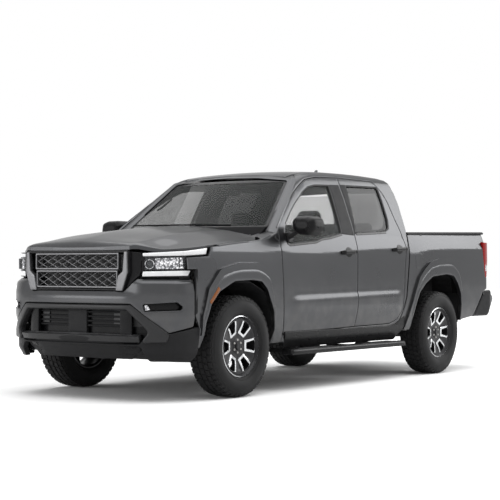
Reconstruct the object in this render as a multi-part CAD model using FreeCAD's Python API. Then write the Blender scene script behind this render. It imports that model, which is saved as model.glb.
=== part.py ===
"""Crew-cab pickup truck, modelled in millimetres.

X points to the truck's left, Y to its tail and Z up. The origin lies on the
ground at the middle of the length.
"""
import FreeCAD, Part
import math
import os
from FreeCAD import Vector

doc = FreeCAD.newDocument("pickup_truck")

# Driving dimensions: name, value in mm or degrees, meaning
SIZES = [
    ("front_overhang", 945, "front axle to foremost point of the bumper"),
    ("wheelbase", 3200, "front axle to rear axle"),
    ("rear_overhang", 1195, "rear axle to rearmost point of the bumper"),
    ("track_width", 1570, "between the tyre centres of one axle"),
    ("half_width", 907, "widest point of a door from the middle"),
    ("flare_bulge", 22, "how far a wheel arch flare stands out from the side"),
    ("wheel_height", 393, "wheel centre above the ground"),
    ("tyre_radius", 393, "outer radius of a tyre"),
    ("tyre_width", 264, "width of a tyre at its sidewalls"),
    ("tread_width", 208, "width of the flat tread"),
    ("rim_radius", 233, "radius of the rim's lip"),
    ("rim_depth", 210, "rim from its outer lip to its inner lip"),
    ("spoke_count", 6, "wide spokes of a wheel"),
    ("sill_height", 400, "lower edge of the cab side"),
    ("door_bottom", 466, "lower edge of the front door at its front"),
    ("belt_height", 1290, "lower edge of the side windows at the middle pillar"),
    ("rail_height", 1800, "top of the door frames"),
    ("roof_height", 1868, "top of the roof at its crown"),
    ("door_front", 538, "front axle to the front edge of the front door"),
    ("front_door_length", 1139, "front door from edge to edge at mid height"),
    ("rear_door_length", 873, "rear door from edge to edge at its widest"),
    ("shut_gap", 7, "gap between panels that open"),
    ("door_wall", 70, "thickness of a door below its window"),
    ("frame_wall", 42, "thickness of a door's window frame"),
    ("door_hem", 25, "how far a door's skin laps past its inner box"),
    ("hem_depth", 20, "depth of a door's skin at its edge"),
    ("skin", 14, "thickness of fenders and outer bed sides"),
    ("glass_thickness", 5, "thickness of a pane"),
    ("seat_gap", 0.3, "clearance where a piece seats on another"),
    ("running_gap", 0.6, "clearance where a piece turns against another"),
    ("cab_rear", 2626, "front axle to the back of the cab at the belt"),
    ("cab_bed_gap", 20, "gap between cab and bed"),
    ("floor_height", 600, "top of the cab floor"),
    ("floor_wall", 25, "thickness of the cab floor"),
    ("rail_bottom", 430, "underside of the frame rails below the cab"),
    ("front_rail_bottom", 560, "underside of the frame rails at the front wheels"),
    ("bed_floor_height", 790, "top of the bed floor"),
    ("bed_depth", 493, "floor to rail inside the bed"),
    ("bed_width", 1560, "inside width of the bed"),
    ("wheelhouse_gap", 1130, "between the wheelhouses inside the bed"),
    ("tailgate_rear", 1025, "rear axle to the outside of the tailgate"),
    ("tailgate_wall", 62, "thickness of the tailgate"),
    ("hood_length", 1215, "hood from its lip to its rear edge on the middle"),
    ("hood_wall", 26, "thickness of the hood"),
    ("grille_half_width", 512, "half the width of the grille frame"),
    ("grille_bottom", 822, "lower edge of the grille frame"),
    ("grille_top", 1122, "upper edge of the grille frame"),
    ("lattice_bar", 12, "width of a lattice bar of the grille"),
    ("rail_width", 70, "width of a frame rail"),
    ("rail_depth", 130, "height of a frame rail"),
    ("hinge_inset", 15, "door hinge axis inside the widest point of the side"),
    ("front_hinge_back", 45, "hinge axis behind the front door's front edge"),
    ("rear_hinge_back", 55, "hinge axis behind the rear door's front edge"),
    ("hinge_pin", 6, "radius of a door hinge's pin"),
    ("gate_pin", 9, "radius of a tailgate pin"),
    ("hood_pin", 8, "radius of a hood hinge's pin"),
    ("kingpin_offset", 745, "steering axis from the middle"),
    ("steering_wheel_radius", 190, "outer radius of the steering wheel"),
]

sheet = doc.addObject("Spreadsheet::Sheet", "Sizes")
for row, (alias, value, meaning) in enumerate(SIZES, start=1):
    sheet.set(f"A{row}", meaning)
    sheet.set(f"B{row}", str(value))
    sheet.setAlias(f"B{row}", alias)
doc.recompute()


def size(alias):
    return float(sheet.get(alias))


# Stations along the truck and heights that several pieces share
HALF_LENGTH = (size("front_overhang") + size("wheelbase") + size("rear_overhang")) / 2
NOSE = -HALF_LENGTH
FRONT_AXLE = NOSE + size("front_overhang")
REAR_AXLE = FRONT_AXLE + size("wheelbase")
TAIL = HALF_LENGTH
DOOR_FRONT = FRONT_AXLE + size("door_front")
PILLAR = DOOR_FRONT + size("front_door_length")
DOOR_REAR = PILLAR + size("rear_door_length")
CAB_REAR = FRONT_AXLE + size("cab_rear")
BED_FRONT = CAB_REAR + size("cab_bed_gap")
GATE_REAR = REAR_AXLE + size("tailgate_rear")
GATE_FRONT = GATE_REAR - size("tailgate_wall")
HALF = size("half_width")
FLARE = HALF + size("flare_bulge")
SILL = size("sill_height")
BELT = size("belt_height")
RAIL = size("rail_height")
ROOF = size("roof_height")
GAP = size("shut_gap")
SEAT = size("seat_gap")
SKIN = size("skin")
AXLE_Z = size("wheel_height")
HALF_TRACK = size("track_width") / 2
FAR = 3 * HALF


# Shape helpers
def outline(points, place, closed=True):
    """A wire through 2-D points; a third number rounds that corner."""
    flat = [Vector(p[0], p[1], 0) for p in points]
    radii = [p[2] if len(p) > 2 else 0 for p in points]
    edges = []
    count = len(flat)
    start_points = []
    end_points = []
    for i, corner in enumerate(flat):
        before = flat[i - 1]
        after = flat[(i + 1) % count]
        if radii[i] <= 0:
            start_points.append(corner)
            end_points.append(corner)
            continue
        to_before = (before - corner).normalize()
        to_after = (after - corner).normalize()
        half_angle = to_before.getAngle(to_after) / 2
        reach = radii[i] / math.tan(half_angle)
        centre_way = (to_before + to_after).normalize()
        middle = corner + centre_way * (radii[i] / math.sin(half_angle) - radii[i])
        first = corner + to_before * reach
        last = corner + to_after * reach
        edges.append((i, first, middle, last))
        start_points.append(first)
        end_points.append(last)
    arcs = {i: (a, m, b) for i, a, m, b in edges}
    wire_edges = []
    for i in range(count):
        if i in arcs:
            a, m, b = (place(p) for p in arcs[i])
            wire_edges.append(Part.Arc(a, m, b).toShape())
        nxt = (i + 1) % count
        if (end_points[i] - start_points[nxt]).Length > 1e-6:
            wire_edges.append(Part.makeLine(place(end_points[i]), place(start_points[nxt])))
    return Part.Wire(wire_edges)


def side_prism(points, x_low, x_high):
    """Points are (y, z), drawn as seen from the side."""
    wire = outline(points, lambda p: Vector(x_low, p.x, p.y))
    return Part.Face(wire).extrude(Vector(x_high - x_low, 0, 0))


def front_prism(points, y_low, y_high):
    """Points are (x, z), drawn as seen from the front."""
    wire = outline(points, lambda p: Vector(p.x, y_low, p.y))
    return Part.Face(wire).extrude(Vector(0, y_high - y_low, 0))


def plan_prism(points, z_low, z_high):
    """Points are (x, y), drawn as seen from above."""
    wire = outline(points, lambda p: Vector(p.x, p.y, z_low))
    return Part.Face(wire).extrude(Vector(0, 0, z_high - z_low))


def box(x0, x1, y0, y1, z0, z1):
    return Part.makeBox(x1 - x0, y1 - y0, z1 - z0, Vector(x0, y0, z0))


def mirrored(shape):
    return shape.mirror(Vector(0, 0, 0), Vector(1, 0, 0))


def both(shape):
    return Part.makeCompound([shape, mirrored(shape)])


def fused(*shapes):
    joined = shapes[0].multiFuse(list(shapes[1:])) if len(shapes) > 1 else shapes[0]
    return joined.removeSplitter()


def symmetric(points):
    """Adds the mirror image of the points, in order, to close an outline."""
    other = [(-p[0],) + tuple(p[1:]) for p in reversed(points) if abs(p[0]) > 1e-6]
    return list(points) + other


def tube(start, end, radius):
    way = end - start
    return Part.makeCylinder(radius, way.Length, start, way)


def rod_path(points, radius):
    """Round bar through the points, with a ball at each corner."""
    pieces = []
    for a, b in zip(points, points[1:]):
        pieces.append(tube(a, b, radius))
    for corner in points[1:-1]:
        pieces.append(Part.makeSphere(radius, corner))
    return fused(*pieces)


def spun(profile, centre, axis=Vector(1, 0, 0)):
    """Turns (across, radius) points about a line through centre along X."""
    points = [centre + Vector(a, 0, r) for a, r in profile]
    face = Part.Face(Part.makePolygon(points + [points[0]]))
    return face.revolve(centre, axis, 360)


NODES = {}


def piece(name, shape):
    feature = doc.addObject("Part::Feature", name)
    feature.Label = name
    feature.Shape = shape
    feature.Placement = FreeCAD.Placement()
    NODES[name] = feature
    return feature


# Body side, as a list of (height, distance from the middle)
SIDE = [
    (SILL, HALF - 45), (SILL + 70, HALF - 23), (SILL + 160, HALF - 10), (SILL + 300, HALF - 2),
    (SILL + 450, HALF), (SILL + 600, HALF - 3), (BELT - 170, HALF - 8), (BELT - 110, HALF - 22),
    (BELT - 50, HALF - 35), (BELT, HALF - 47), (BELT + 50, HALF - 62), (BELT + 110, HALF - 85),
    (BELT + 210, HALF - 127), (BELT + 310, HALF - 169), (BELT + 410, HALF - 217),
    (RAIL - 10, HALF - 262), (RAIL + 40, HALF - 310),
]


def side_at(z):
    """Distance of the body side from the middle at a height."""
    if z <= SIDE[0][0]:
        return SIDE[0][1]
    for (z0, x0), (z1, x1) in zip(SIDE, SIDE[1:]):
        if z <= z1:
            return x0 + (x1 - x0) * (z - z0) / (z1 - z0)
    return SIDE[-1][1]


LOWER = [z for z, x in SIDE if z <= BELT]
UPPER_STEPS = (0.3, 0.6, 0.85, 1.0)


# Roof line: (station, height of the rail's outer corner, height at the crown)
CAB_NOSE = FRONT_AXLE + 425
FIREWALL = CAB_NOSE + 45
ROOF_LINE = [
    (CAB_NOSE, RAIL - 90, ROOF - 78), (DOOR_FRONT + 520, RAIL - 90, ROOF - 78),
    (DOOR_FRONT + 667, RAIL - 25, ROOF - 42), (DOOR_FRONT + 835, RAIL + 3, ROOF - 20),
    (PILLAR - 20, RAIL + 20, ROOF - 5), (PILLAR + 400, RAIL + 26, ROOF),
    (DOOR_REAR - 60, RAIL + 18, ROOF - 6), (CAB_REAR + 80, RAIL - 5, ROOF - 24),
]


def cab_section(station, rail, crown, wall, frame, top):
    """Closed section across the cab, set in by a wall, window frame and roof."""
    half = [(side_at(z) - wall, z) for z in LOWER[:-1]]
    half.insert(0, (half[0][0], half[0][1] - (20 if wall > 0 else 0.5)))
    foot = BELT
    half.append((side_at(foot) - (wall if wall else 0), foot))
    for step in UPPER_STEPS:
        z = foot + 30 + (rail - foot - 30) * step
        half.append((side_at(z) - frame, z - top * step * 0.5))
    edge = half[-1][0]
    half.append((edge - 28, rail + (crown - rail) * 0.45 - top))
    half.append((edge * 0.55, rail + (crown - rail) * 0.84 - top))
    points = [Vector(x, station, z) for x, z in half]
    points.append(Vector(0, station, crown - top))
    points += [Vector(-x, station, z) for x, z in reversed(half)]
    return Part.makePolygon(points + [points[0]])


def cab_volume(wall=0, frame=0, top=0, front=None, rear=None):
    sections = []
    for station, rail, crown in ROOF_LINE:
        if station == ROOF_LINE[0][0] and front is not None:
            station = front
        if station == ROOF_LINE[-1][0] and rear is not None:
            station = rear
        sections.append(cab_section(station, rail, crown, wall, frame, top))
    return Part.makeLoft(sections, True, True)


# Windshield: bowed in plan, leaning back to the roof
GLASS_BASE = (BELT + 10, 760, CAB_NOSE + 95, CAB_NOSE - 35)
GLASS_HEAD = (RAIL - 40, 600, DOOR_FRONT + 537, DOOR_FRONT + 442)


def ahead_of_windshield(set_back):
    """Everything ahead of the windshield's surface, moved back along Y."""
    wires = []
    rise = GLASS_HEAD[0] - GLASS_BASE[0]
    for height in (GLASS_BASE[0] - 0.22 * rise, GLASS_HEAD[0] + 0.25 * rise):
        share = (height - GLASS_BASE[0]) / rise
        half, corner, middle = (
            GLASS_BASE[i] + (GLASS_HEAD[i] - GLASS_BASE[i]) * share + (set_back if i > 1 else 0)
            for i in (1, 2, 3)
        )
        reach = HALF + 100
        side_y = corner + (corner - middle) * ((reach / half) ** 2 - 1) * 0.6
        a = Vector(-reach, side_y, height)
        b = Vector(-half, corner, height)
        m = Vector(0, middle, height)
        c = Vector(half, corner, height)
        d = Vector(reach, side_y, height)
        far = NOSE - 200
        wires.append(Part.Wire([
            Part.makeLine(a, b), Part.Arc(b, m, c).toShape(), Part.makeLine(c, d),
            Part.makeLine(d, Vector(reach, far, height)),
            Part.makeLine(Vector(reach, far, height), Vector(-reach, far, height)),
            Part.makeLine(Vector(-reach, far, height), a),
        ]))
    return Part.makeLoft(wires, True, True)


# Back edge of the cab as seen from the side
CAB_BACK = [
    (CAB_REAR - 258, SILL + 85), (CAB_REAR - 197, SILL + 147), (CAB_REAR - 131, SILL + 242),
    (CAB_REAR - 86, SILL + 338), (CAB_REAR - 75, SILL + 435), (CAB_REAR - 45, SILL + 596),
    (CAB_REAR - 20, BELT - 132), (CAB_REAR, BELT + 12), (CAB_REAR + 17, BELT + 68),
    (CAB_REAR + 49, BELT + 294), (CAB_REAR + 54, RAIL - 100), (CAB_REAR + 37, RAIL - 20),
    (CAB_REAR + 4, RAIL + 35),
]


def behind_cab(shift=0):
    points = [(y + shift, z) for y, z in CAB_BACK]
    low = [(points[0][0] - 400, SILL - 100), (points[0][0] - 60, points[0][1] - 40)]
    high = [(points[-1][0] - 90, ROOF + 60), (TAIL + 200, ROOF + 60), (TAIL + 200, SILL - 100)]
    return side_prism(low + points + high, -FAR, FAR)


# Door outlines, (y, z) seen from the side
FRONT_DOOR = [
    (DOOR_FRONT + 40, SILL + 66, 12), (DOOR_FRONT + 14, BELT - 367), (DOOR_FRONT, BELT - 165),
    (DOOR_FRONT - 10, BELT - 90), (DOOR_FRONT + 14, BELT + 36), (DOOR_FRONT + 102, BELT + 109),
    (DOOR_FRONT + 250, BELT + 217), (DOOR_FRONT + 404, BELT + 328), (DOOR_FRONT + 520, RAIL - 119, 60),
    (DOOR_FRONT + 667, RAIL - 50, 120), (DOOR_FRONT + 835, RAIL - 22, 200), (PILLAR + 77, RAIL - 2),
    (PILLAR + 23, BELT - 12), (PILLAR + 14, BELT - 202), (PILLAR, BELT - 482, 400),
    (PILLAR - 23, SILL + 98, 8),
]
REAR_DOOR = [
    (PILLAR - 23 + GAP, SILL + 98, 8), (PILLAR + GAP, BELT - 482, 400),
    (PILLAR + 14 + GAP, BELT - 202), (PILLAR + 23 + GAP, BELT - 12), (PILLAR + 77 + GAP, RAIL - 2),
    (DOOR_REAR - 193, RAIL - 4, 60), (DOOR_REAR - 98, RAIL - 100, 60), (DOOR_REAR - 68, BELT + 320),
    (DOOR_REAR - 49, BELT + 159), (DOOR_REAR - 18, BELT + 40), (DOOR_REAR, BELT - 100, 40),
    (DOOR_REAR - 33, BELT - 294, 60), (DOOR_REAR - 46, BELT - 461, 60), (DOOR_REAR - 70, SILL + 246, 66),
    (DOOR_REAR - 180, SILL + 140, 56), (DOOR_REAR - 300, SILL + 106, 56),
]
FRONT_WINDOW = [
    (DOOR_FRONT + 94, BELT - 85, 10), (DOOR_FRONT + 99, BELT + 8), (DOOR_FRONT + 140, BELT + 79),
    (DOOR_FRONT + 268, BELT + 178), (DOOR_FRONT + 386, BELT + 255), (DOOR_FRONT + 571, RAIL - 149, 60),
    (DOOR_FRONT + 674, RAIL - 106, 80), (DOOR_FRONT + 795, RAIL - 83, 200), (PILLAR - 107, RAIL - 74, 14),
    (PILLAR - 175, BELT + 7, 8), (PILLAR - 376, BELT - 28, 60), (PILLAR - 513, BELT - 43, 60),
    (PILLAR - 609, BELT - 69, 60), (DOOR_FRONT + 138, BELT - 100, 10),
]
REAR_WINDOW = [
    (PILLAR + 57, BELT + 13, 10), (PILLAR + 180, RAIL - 61, 10), (DOOR_REAR - 155, RAIL - 48, 20),
    (DOOR_REAR - 138, RAIL - 80, 20), (DOOR_REAR - 173, BELT + 154, 30), (DOOR_REAR - 215, BELT + 70, 40),
    (DOOR_REAR - 290, BELT + 42, 40),
]


def swelled(points, grow):
    """The outline moved outwards by a distance, for the opening round a panel."""
    wire = outline(points, lambda p: Vector(p.x, p.y, 0))
    return wire.makeOffset2D(grow, 2, False, False, False)


def grown_prism(points, grow, x_low, x_high):
    """Prism of an outline seen from the side, moved outwards by a distance."""
    wire = swelled(points, grow)
    face = Part.Face(wire)
    turn = FreeCAD.Matrix(0, 0, 1, 0, 1, 0, 0, 0, 0, 1, 0, 0, 0, 0, 0, 1)
    face = face.transformGeometry(turn)
    face.translate(Vector(x_low, 0, 0))
    return face.extrude(Vector(x_high - x_low, 0, 0))


WALL = size("door_wall")
FRAME = size("frame_wall")
cab_outer = cab_volume().cut(ahead_of_windshield(0)).cut(behind_cab())
cab_inner = cab_volume(WALL, FRAME, 30, front=FIREWALL).cut(ahead_of_windshield(42)).cut(behind_cab(-50))
cab_wall = cab_outer.cut(cab_inner)

# Doors, their panes and the openings that they close
X_DOOR = HALF / 2
side_wall = cab_outer.cut(cab_volume(WALL, FRAME, 30, front=FIREWALL).cut(ahead_of_windshield(42)))
door_band = side_wall.common(box(X_DOOR, FAR, DOOR_FRONT - 60, DOOR_REAR + 60, SILL, ROOF))
pane_outer = cab_volume(14, 14, 14)
pane_inner = cab_volume(14 + size("glass_thickness"), 14 + size("glass_thickness"), 14)
pane_band = pane_outer.cut(pane_inner).common(box(X_DOOR, FAR, DOOR_FRONT, DOOR_REAR, BELT - 150, RAIL))


HEM = size("door_hem")
hem_zone = cab_volume(size("hem_depth"), size("hem_depth"), 0)


def make_door(outline_points, window_points):
    """Door whose outer skin laps past its inner box all round."""
    panel = door_band.common(side_prism(outline_points, X_DOOR, FAR))
    edge = hem_zone.cut(grown_prism(outline_points, -HEM, X_DOOR - 1, FAR))
    return panel.cut(edge).cut(side_prism(window_points, X_DOOR, FAR))


def make_pane(window_points):
    return pane_band.common(grown_prism(window_points, -SEAT, X_DOOR, FAR))


# Hinges: a strap on the pillar carries a pin that turns in the door
HINGE_X = HALF - size("hinge_inset")
PIN = size("hinge_pin")
RUN = size("running_gap")
PILLAR_FACE = WALL + 26
HINGE_HEIGHTS = ((722, 770), (1022, 1068))
hinge_lines = (DOOR_FRONT + size("front_hinge_back"), PILLAR + GAP + size("rear_hinge_back"))


def hinge_pocket(y, low, high):
    """Room in the door for a strap that swings from inboard to the front."""
    room = plan_prism([
        (HALF - WALL - 30, y - 100), (HALF - 20, y - 100), (HALF - 20, y - 40), (HINGE_X + PIN + 1, y - PIN - 4),
        (HINGE_X + PIN + 1, y + PIN + 4), (HALF - WALL - 30, y + PIN + 4),
    ], low - RUN, high + RUN)
    return room.fuse(tube(Vector(HINGE_X, y, low - 14), Vector(HINGE_X, y, high + 14), PIN + RUN))


def hinge_strap(y, low, high):
    strap = box(HALF - PILLAR_FACE - 20, HINGE_X, y - PIN, y + PIN, low, high)
    pin = tube(Vector(HINGE_X, y, low - 12), Vector(HINGE_X, y, high + 12), PIN)
    return strap.fuse(pin)


straps = []
pockets = []
for hinge_y in hinge_lines:
    straps += [hinge_strap(hinge_y, low, high) for low, high in HINGE_HEIGHTS]
    pockets.append([hinge_pocket(hinge_y, low, high) for low, high in HINGE_HEIGHTS])
front_door = make_door(FRONT_DOOR, FRONT_WINDOW).cut(pockets[0])
rear_door = make_door(REAR_DOOR, REAR_WINDOW).cut(pockets[1])
front_pane = make_pane(FRONT_WINDOW)
rear_pane = make_pane(REAR_WINDOW)
for side, turn in (("left", lambda s: s), ("right", mirrored)):
    piece(f"front_{side}_door", turn(front_door))
    piece(f"rear_{side}_door", turn(rear_door))
    piece(f"front_{side}_window", turn(front_pane))
    piece(f"rear_{side}_window", turn(rear_pane))

# Cab shell: pillars, sills, firewall, floor and back wall
WINDSHIELD = symmetric([
    (0, BELT + 32), (600, BELT + 28), (742, BELT + 42, 30), (604, RAIL - 60, 40), (300, RAIL - 30),
    (0, RAIL - 24),
])
BACK_WINDOW = symmetric([
    (0, BELT + 75), (640, BELT + 75, 60), (570, RAIL - 95, 60), (0, RAIL - 80),
])
SILL_INSIDE = 640
UNDERFLOOR = size("floor_height") - size("floor_wall")
FLOOR = size("floor_height")
shell = cab_wall.cut(box(-SILL_INSIDE, SILL_INSIDE, CAB_NOSE - 100, TAIL, 0, UNDERFLOOR))
back_corner = box(X_DOOR - 1, HALF - WALL - 30, DOOR_REAR - 150, DOOR_REAR, SILL, BELT - 300)
for opening in (FRONT_DOOR, REAR_DOOR):
    cutter = grown_prism(opening, GAP, X_DOOR, FAR).cut(back_corner)
    shell = shell.cut(cutter).cut(mirrored(cutter))
shell = shell.cut(front_prism(WINDSHIELD, NOSE, PILLAR))
shell = shell.cut(front_prism(BACK_WINDOW, DOOR_REAR - 100, TAIL))

# Middle pillars stand inboard of the doors
pillar_outer = cab_volume(PILLAR_FACE, FRAME + 14, 30)
pillar_inner = cab_volume(PILLAR_FACE + 60, FRAME + 60, 30)
pillar_strip = [
    (PILLAR - 95, SILL + 80), (PILLAR - 60, BELT - 20), (PILLAR - 10, RAIL - 10),
    (PILLAR + 130, RAIL - 10), (PILLAR + 95, BELT - 20), (PILLAR + 60, SILL + 80),
]
pillar_band = pillar_outer.cut(pillar_inner)
pillars = pillar_band.common(side_prism(pillar_strip, X_DOOR, FAR))
hinge_pillar = pillar_band.common(box(X_DOOR, FAR, FIREWALL - 20, hinge_lines[0] + 30, SILL + 80, BELT - 200))
floor = side_prism([
    (FIREWALL - 5, UNDERFLOOR), (FIREWALL - 5, FLOOR + 150), (FIREWALL + 160, FLOOR), (CAB_REAR - 60, FLOOR),
    (CAB_REAR - 60, UNDERFLOOR),
], -HALF + WALL + 30, HALF - WALL - 30)
TUNNEL_END = DOOR_FRONT + 1380
tunnel = box(-150, 150, FIREWALL - 5, TUNNEL_END, FLOOR - 5, FLOOR + 130)
tunnel_way = box(-120, 120, CAB_NOSE - 50, TUNNEL_END - 30, SILL - 50, FLOOR + 100)
sill_low = box(SILL_INSIDE, HALF, FIREWALL - 40, CAB_REAR - 250, SILL, SILL + 55).common(cab_volume(10, 0, 0))
sill_high = box(SILL_INSIDE, HALF, FIREWALL - 40, CAB_REAR - 250, SILL, FLOOR).common(cab_volume(PILLAR_FACE, 0, 0))
sill_box = sill_low.fuse(sill_high).common(cab_outer)
header = box(-560, 560, PILLAR - 20, PILLAR + 100, RAIL - 10, RAIL + 12).common(cab_inner)
side_frame = fused(pillars, hinge_pillar, sill_box, *straps)
shell = fused(shell, side_frame, mirrored(side_frame), floor.common(cab_outer), tunnel, header).cut(tunnel_way)
hood_bracket = fused(
    tube(Vector(682, CAB_NOSE - 20, BELT - 40), Vector(712, CAB_NOSE - 20, BELT - 40), size("hood_pin")),
    box(714, 724, CAB_NOSE - 34, CAB_NOSE + 10, BELT - 60, BELT - 28),
    tube(Vector(712, CAB_NOSE - 20, BELT - 40), Vector(716, CAB_NOSE - 20, BELT - 40), size("hood_pin")),
)
shell = fused(shell, hood_bracket, mirrored(hood_bracket))
fender_seat = box(HALF - 60, FAR, CAB_NOSE - 20, DOOR_FRONT + 60, SILL - 1, BELT - 20)
fender_seat = fender_seat.cut(cab_volume(SKIN + SEAT, 0, 0))
shell = shell.cut(fender_seat).cut(mirrored(fender_seat))

# Roof panel lies between the side ditches, from header to header
DITCH = HALF - 335
roof_cut = plan_prism([
    (-DITCH + 25, DOOR_FRONT + 560), (DITCH - 25, DOOR_FRONT + 560), (DITCH, DOOR_FRONT + 700),
    (DITCH, CAB_REAR - 20, 40), (-DITCH, CAB_REAR - 20, 40), (-DITCH, DOOR_FRONT + 700),
], RAIL - 60, ROOF + 50)
roof = shell.common(roof_cut)
ditch = plan_prism([
    (-DITCH + 25 - SEAT, DOOR_FRONT + 560 - SEAT), (DITCH - 25 + SEAT, DOOR_FRONT + 560 - SEAT),
    (DITCH + SEAT, DOOR_FRONT + 700), (DITCH + SEAT, CAB_REAR - 20 + SEAT, 40),
    (-DITCH - SEAT, CAB_REAR - 20 + SEAT, 40), (-DITCH - SEAT, DOOR_FRONT + 700),
], RAIL - 60, ROOF + 50)
shell = shell.cut(ditch)
fin = side_prism([
    (PILLAR + 640, ROOF - 12), (PILLAR + 740, ROOF - 12), (PILLAR + 745, ROOF + 66, 6), (PILLAR + 728, ROOF + 66, 6),
], -9, 9)
roof = fused(roof, fin)
piece("cab_shell", shell)
piece("roof_panel", roof)

# Fixed panes sit in their openings
ws_band = ahead_of_windshield(26).common(cab_volume(2, 2, 2)).cut(ahead_of_windshield(16))


def front_swelled(points, grow, y_low, y_high):
    wire = swelled(points, grow)
    face = Part.Face(wire)
    turn = FreeCAD.Matrix(1, 0, 0, 0, 0, 0, 1, 0, 0, 1, 0, 0, 0, 0, 0, 1)
    face = face.transformGeometry(turn)
    face.translate(Vector(0, y_low, 0))
    return face.extrude(Vector(0, y_high - y_low, 0))


windshield = ws_band.common(front_swelled(WINDSHIELD, -SEAT, NOSE, PILLAR))
back_band = cab_volume(2, 2, 2).common(behind_cab(-28)).cut(behind_cab(-22))
back_pane = back_band.common(front_swelled(BACK_WINDOW, -SEAT, DOOR_REAR, TAIL))
piece("cab_glass", Part.makeCompound([windshield, back_pane]))

# Top of the nose: (distance behind the axle, heights at the middle, crest, shoulder, edge)
NOSE_TOP = [
    (-875, ROOF - 718, ROOF - 716, ROOF - 762, ROOF - 783),
    (-835, ROOF - 678, ROOF - 694, ROOF - 752, ROOF - 776),
    (-675, ROOF - 630, ROOF - 668, ROOF - 728, ROOF - 764),
    (-375, ROOF - 578, ROOF - 618, ROOF - 672, ROOF - 716),
    (-75, ROOF - 546, ROOF - 592, ROOF - 636, ROOF - 685),
    (275, ROOF - 526, ROOF - 572, ROOF - 612, ROOF - 660),
    (540, ROOF - 518, ROOF - 556, ROOF - 566, ROOF - 580),
]
CREST = 520
SHOULDER = HALF - 215


def nose_top(drop):
    sections = []
    for back, middle, crest, shoulder, edge in NOSE_TOP:
        half = [(0, middle), (CREST / 2, middle * 0.6 + crest * 0.4), (CREST, crest),
                (SHOULDER, shoulder), (HALF + 10, edge)]
        y = FRONT_AXLE + back
        top = [Vector(x, y, z - drop) for x, z in half]
        left = [Vector(-x, y, z - drop) for x, z in reversed(half[1:])]
        ring = left + top + [Vector(HALF + 10, y, SILL), Vector(-HALF - 10, y, SILL)]
        sections.append(Part.makePolygon(ring + [ring[0]]))
    return Part.makeLoft(sections, True, True)


HOOD_LIP = FRONT_AXLE - 872
HOOD_REAR = HOOD_LIP + size("hood_length")
HOOD = symmetric([
    (0, HOOD_LIP - 6), (GRILLE_HALF := size("grille_half_width"), HOOD_LIP, 20), (590, FRONT_AXLE - 822),
    (720, FRONT_AXLE - 715), (800, FRONT_AXLE - 575), (HALF - 57, FRONT_AXLE - 430),
    (HALF - 43, FRONT_AXLE - 290), (HALF - 50, FRONT_AXLE + 20), (HALF - 56, FRONT_AXLE + 235, 60),
    (HALF - 127, FRONT_AXLE + 330, 40), (520, HOOD_REAR - 20), (0, HOOD_REAR),
])
hood_top = nose_top(0)
hood_under = nose_top(size("hood_wall"))
hood_solid = hood_top.cut(hood_under).common(plan_prism(HOOD, SILL, ROOF))
lip = front_prism([
    (-GRILLE_HALF, ROOF - 728), (GRILLE_HALF, ROOF - 728), (GRILLE_HALF, ROOF - 690), (-GRILLE_HALF, ROOF - 690),
], HOOD_LIP - 20, HOOD_LIP + 30).common(plan_prism(HOOD, SILL, ROOF)).common(hood_top)
HOOD_AXIS = Vector(0, CAB_NOSE - 20, BELT - 40)
HOOD_PIN = size("hood_pin")
arm_x = 690
hood_arm = side_prism([
    (HOOD_AXIS.y - 16, HOOD_AXIS.z - 16, 12), (HOOD_AXIS.y + 16, HOOD_AXIS.z - 16, 12),
    (HOOD_AXIS.y + 16, HOOD_AXIS.z + 14, 12), (HOOD_AXIS.y - 60, HOOD_AXIS.z + 60), (HOOD_AXIS.y - 200, HOOD_AXIS.z + 60),
    (HOOD_AXIS.y - 200, HOOD_AXIS.z - 10), (HOOD_AXIS.y - 60, HOOD_AXIS.z - 10),
], arm_x, arm_x + 12).common(nose_top(10))
hood_arm = hood_arm.cut(tube(Vector(arm_x - 5, HOOD_AXIS.y, HOOD_AXIS.z), Vector(arm_x + 20, HOOD_AXIS.y, HOOD_AXIS.z),
                             HOOD_PIN + RUN))
piece("hood", fused(hood_solid, lip, hood_arm, mirrored(hood_arm)))

# Front fenders: a skin that follows the body side and draws in towards the lamps
FENDER_DRAW = [(DOOR_FRONT - GAP, 0), (FRONT_AXLE - 320, 0), (FRONT_AXLE - 480, -8), (FRONT_AXLE - 680, -36)]


def side_skin(stations, inner, top_z, bottom_z):
    """Skin along the body side through (station, draw-in) pairs."""
    heights = [bottom_z] + [z for z, x in SIDE if bottom_z < z < top_z] + [top_z]
    wires = []
    for y, draw in stations:
        outer_edge = [Vector(side_at(z) + draw, y, z) for z in heights]
        inner_edge = [Vector(side_at(z) + draw - inner, y, z) for z in reversed(heights)]
        ring = outer_edge + inner_edge
        wires.append(Part.makePolygon(ring + [ring[0]]))
    return Part.makeLoft(wires, True, True)


ARCH_TOP = AXLE_Z + 511
FRONT_ARCH = [
    (FRONT_AXLE - 500, AXLE_Z - 200), (FRONT_AXLE - 468, AXLE_Z + 191, 60), (FRONT_AXLE - 415, AXLE_Z + 331, 60),
    (FRONT_AXLE - 322, AXLE_Z + 425, 80), (FRONT_AXLE - 134, ARCH_TOP - 8, 120), (FRONT_AXLE + 100, ARCH_TOP, 120),
    (FRONT_AXLE + 225, ARCH_TOP - 12, 70), (FRONT_AXLE + 300, AXLE_Z + 440, 70), (FRONT_AXLE + 398, AXLE_Z + 260, 80),
    (FRONT_AXLE + 418, AXLE_Z + 120), (FRONT_AXLE + 402, AXLE_Z - 200),
]
FLARE_EDGE = [
    (FRONT_AXLE - 500, AXLE_Z + 250), (FRONT_AXLE - 440, AXLE_Z + 450, 60), (FRONT_AXLE - 306, AXLE_Z + 592, 80),
    (FRONT_AXLE - 56, AXLE_Z + 642, 160), (FRONT_AXLE + 200, AXLE_Z + 642, 160), (FRONT_AXLE + 369, AXLE_Z + 567, 60),
    (FRONT_AXLE + 430, AXLE_Z + 394), (FRONT_AXLE + 430, AXLE_Z + 100), (FRONT_AXLE - 500, AXLE_Z + 100),
]
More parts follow.
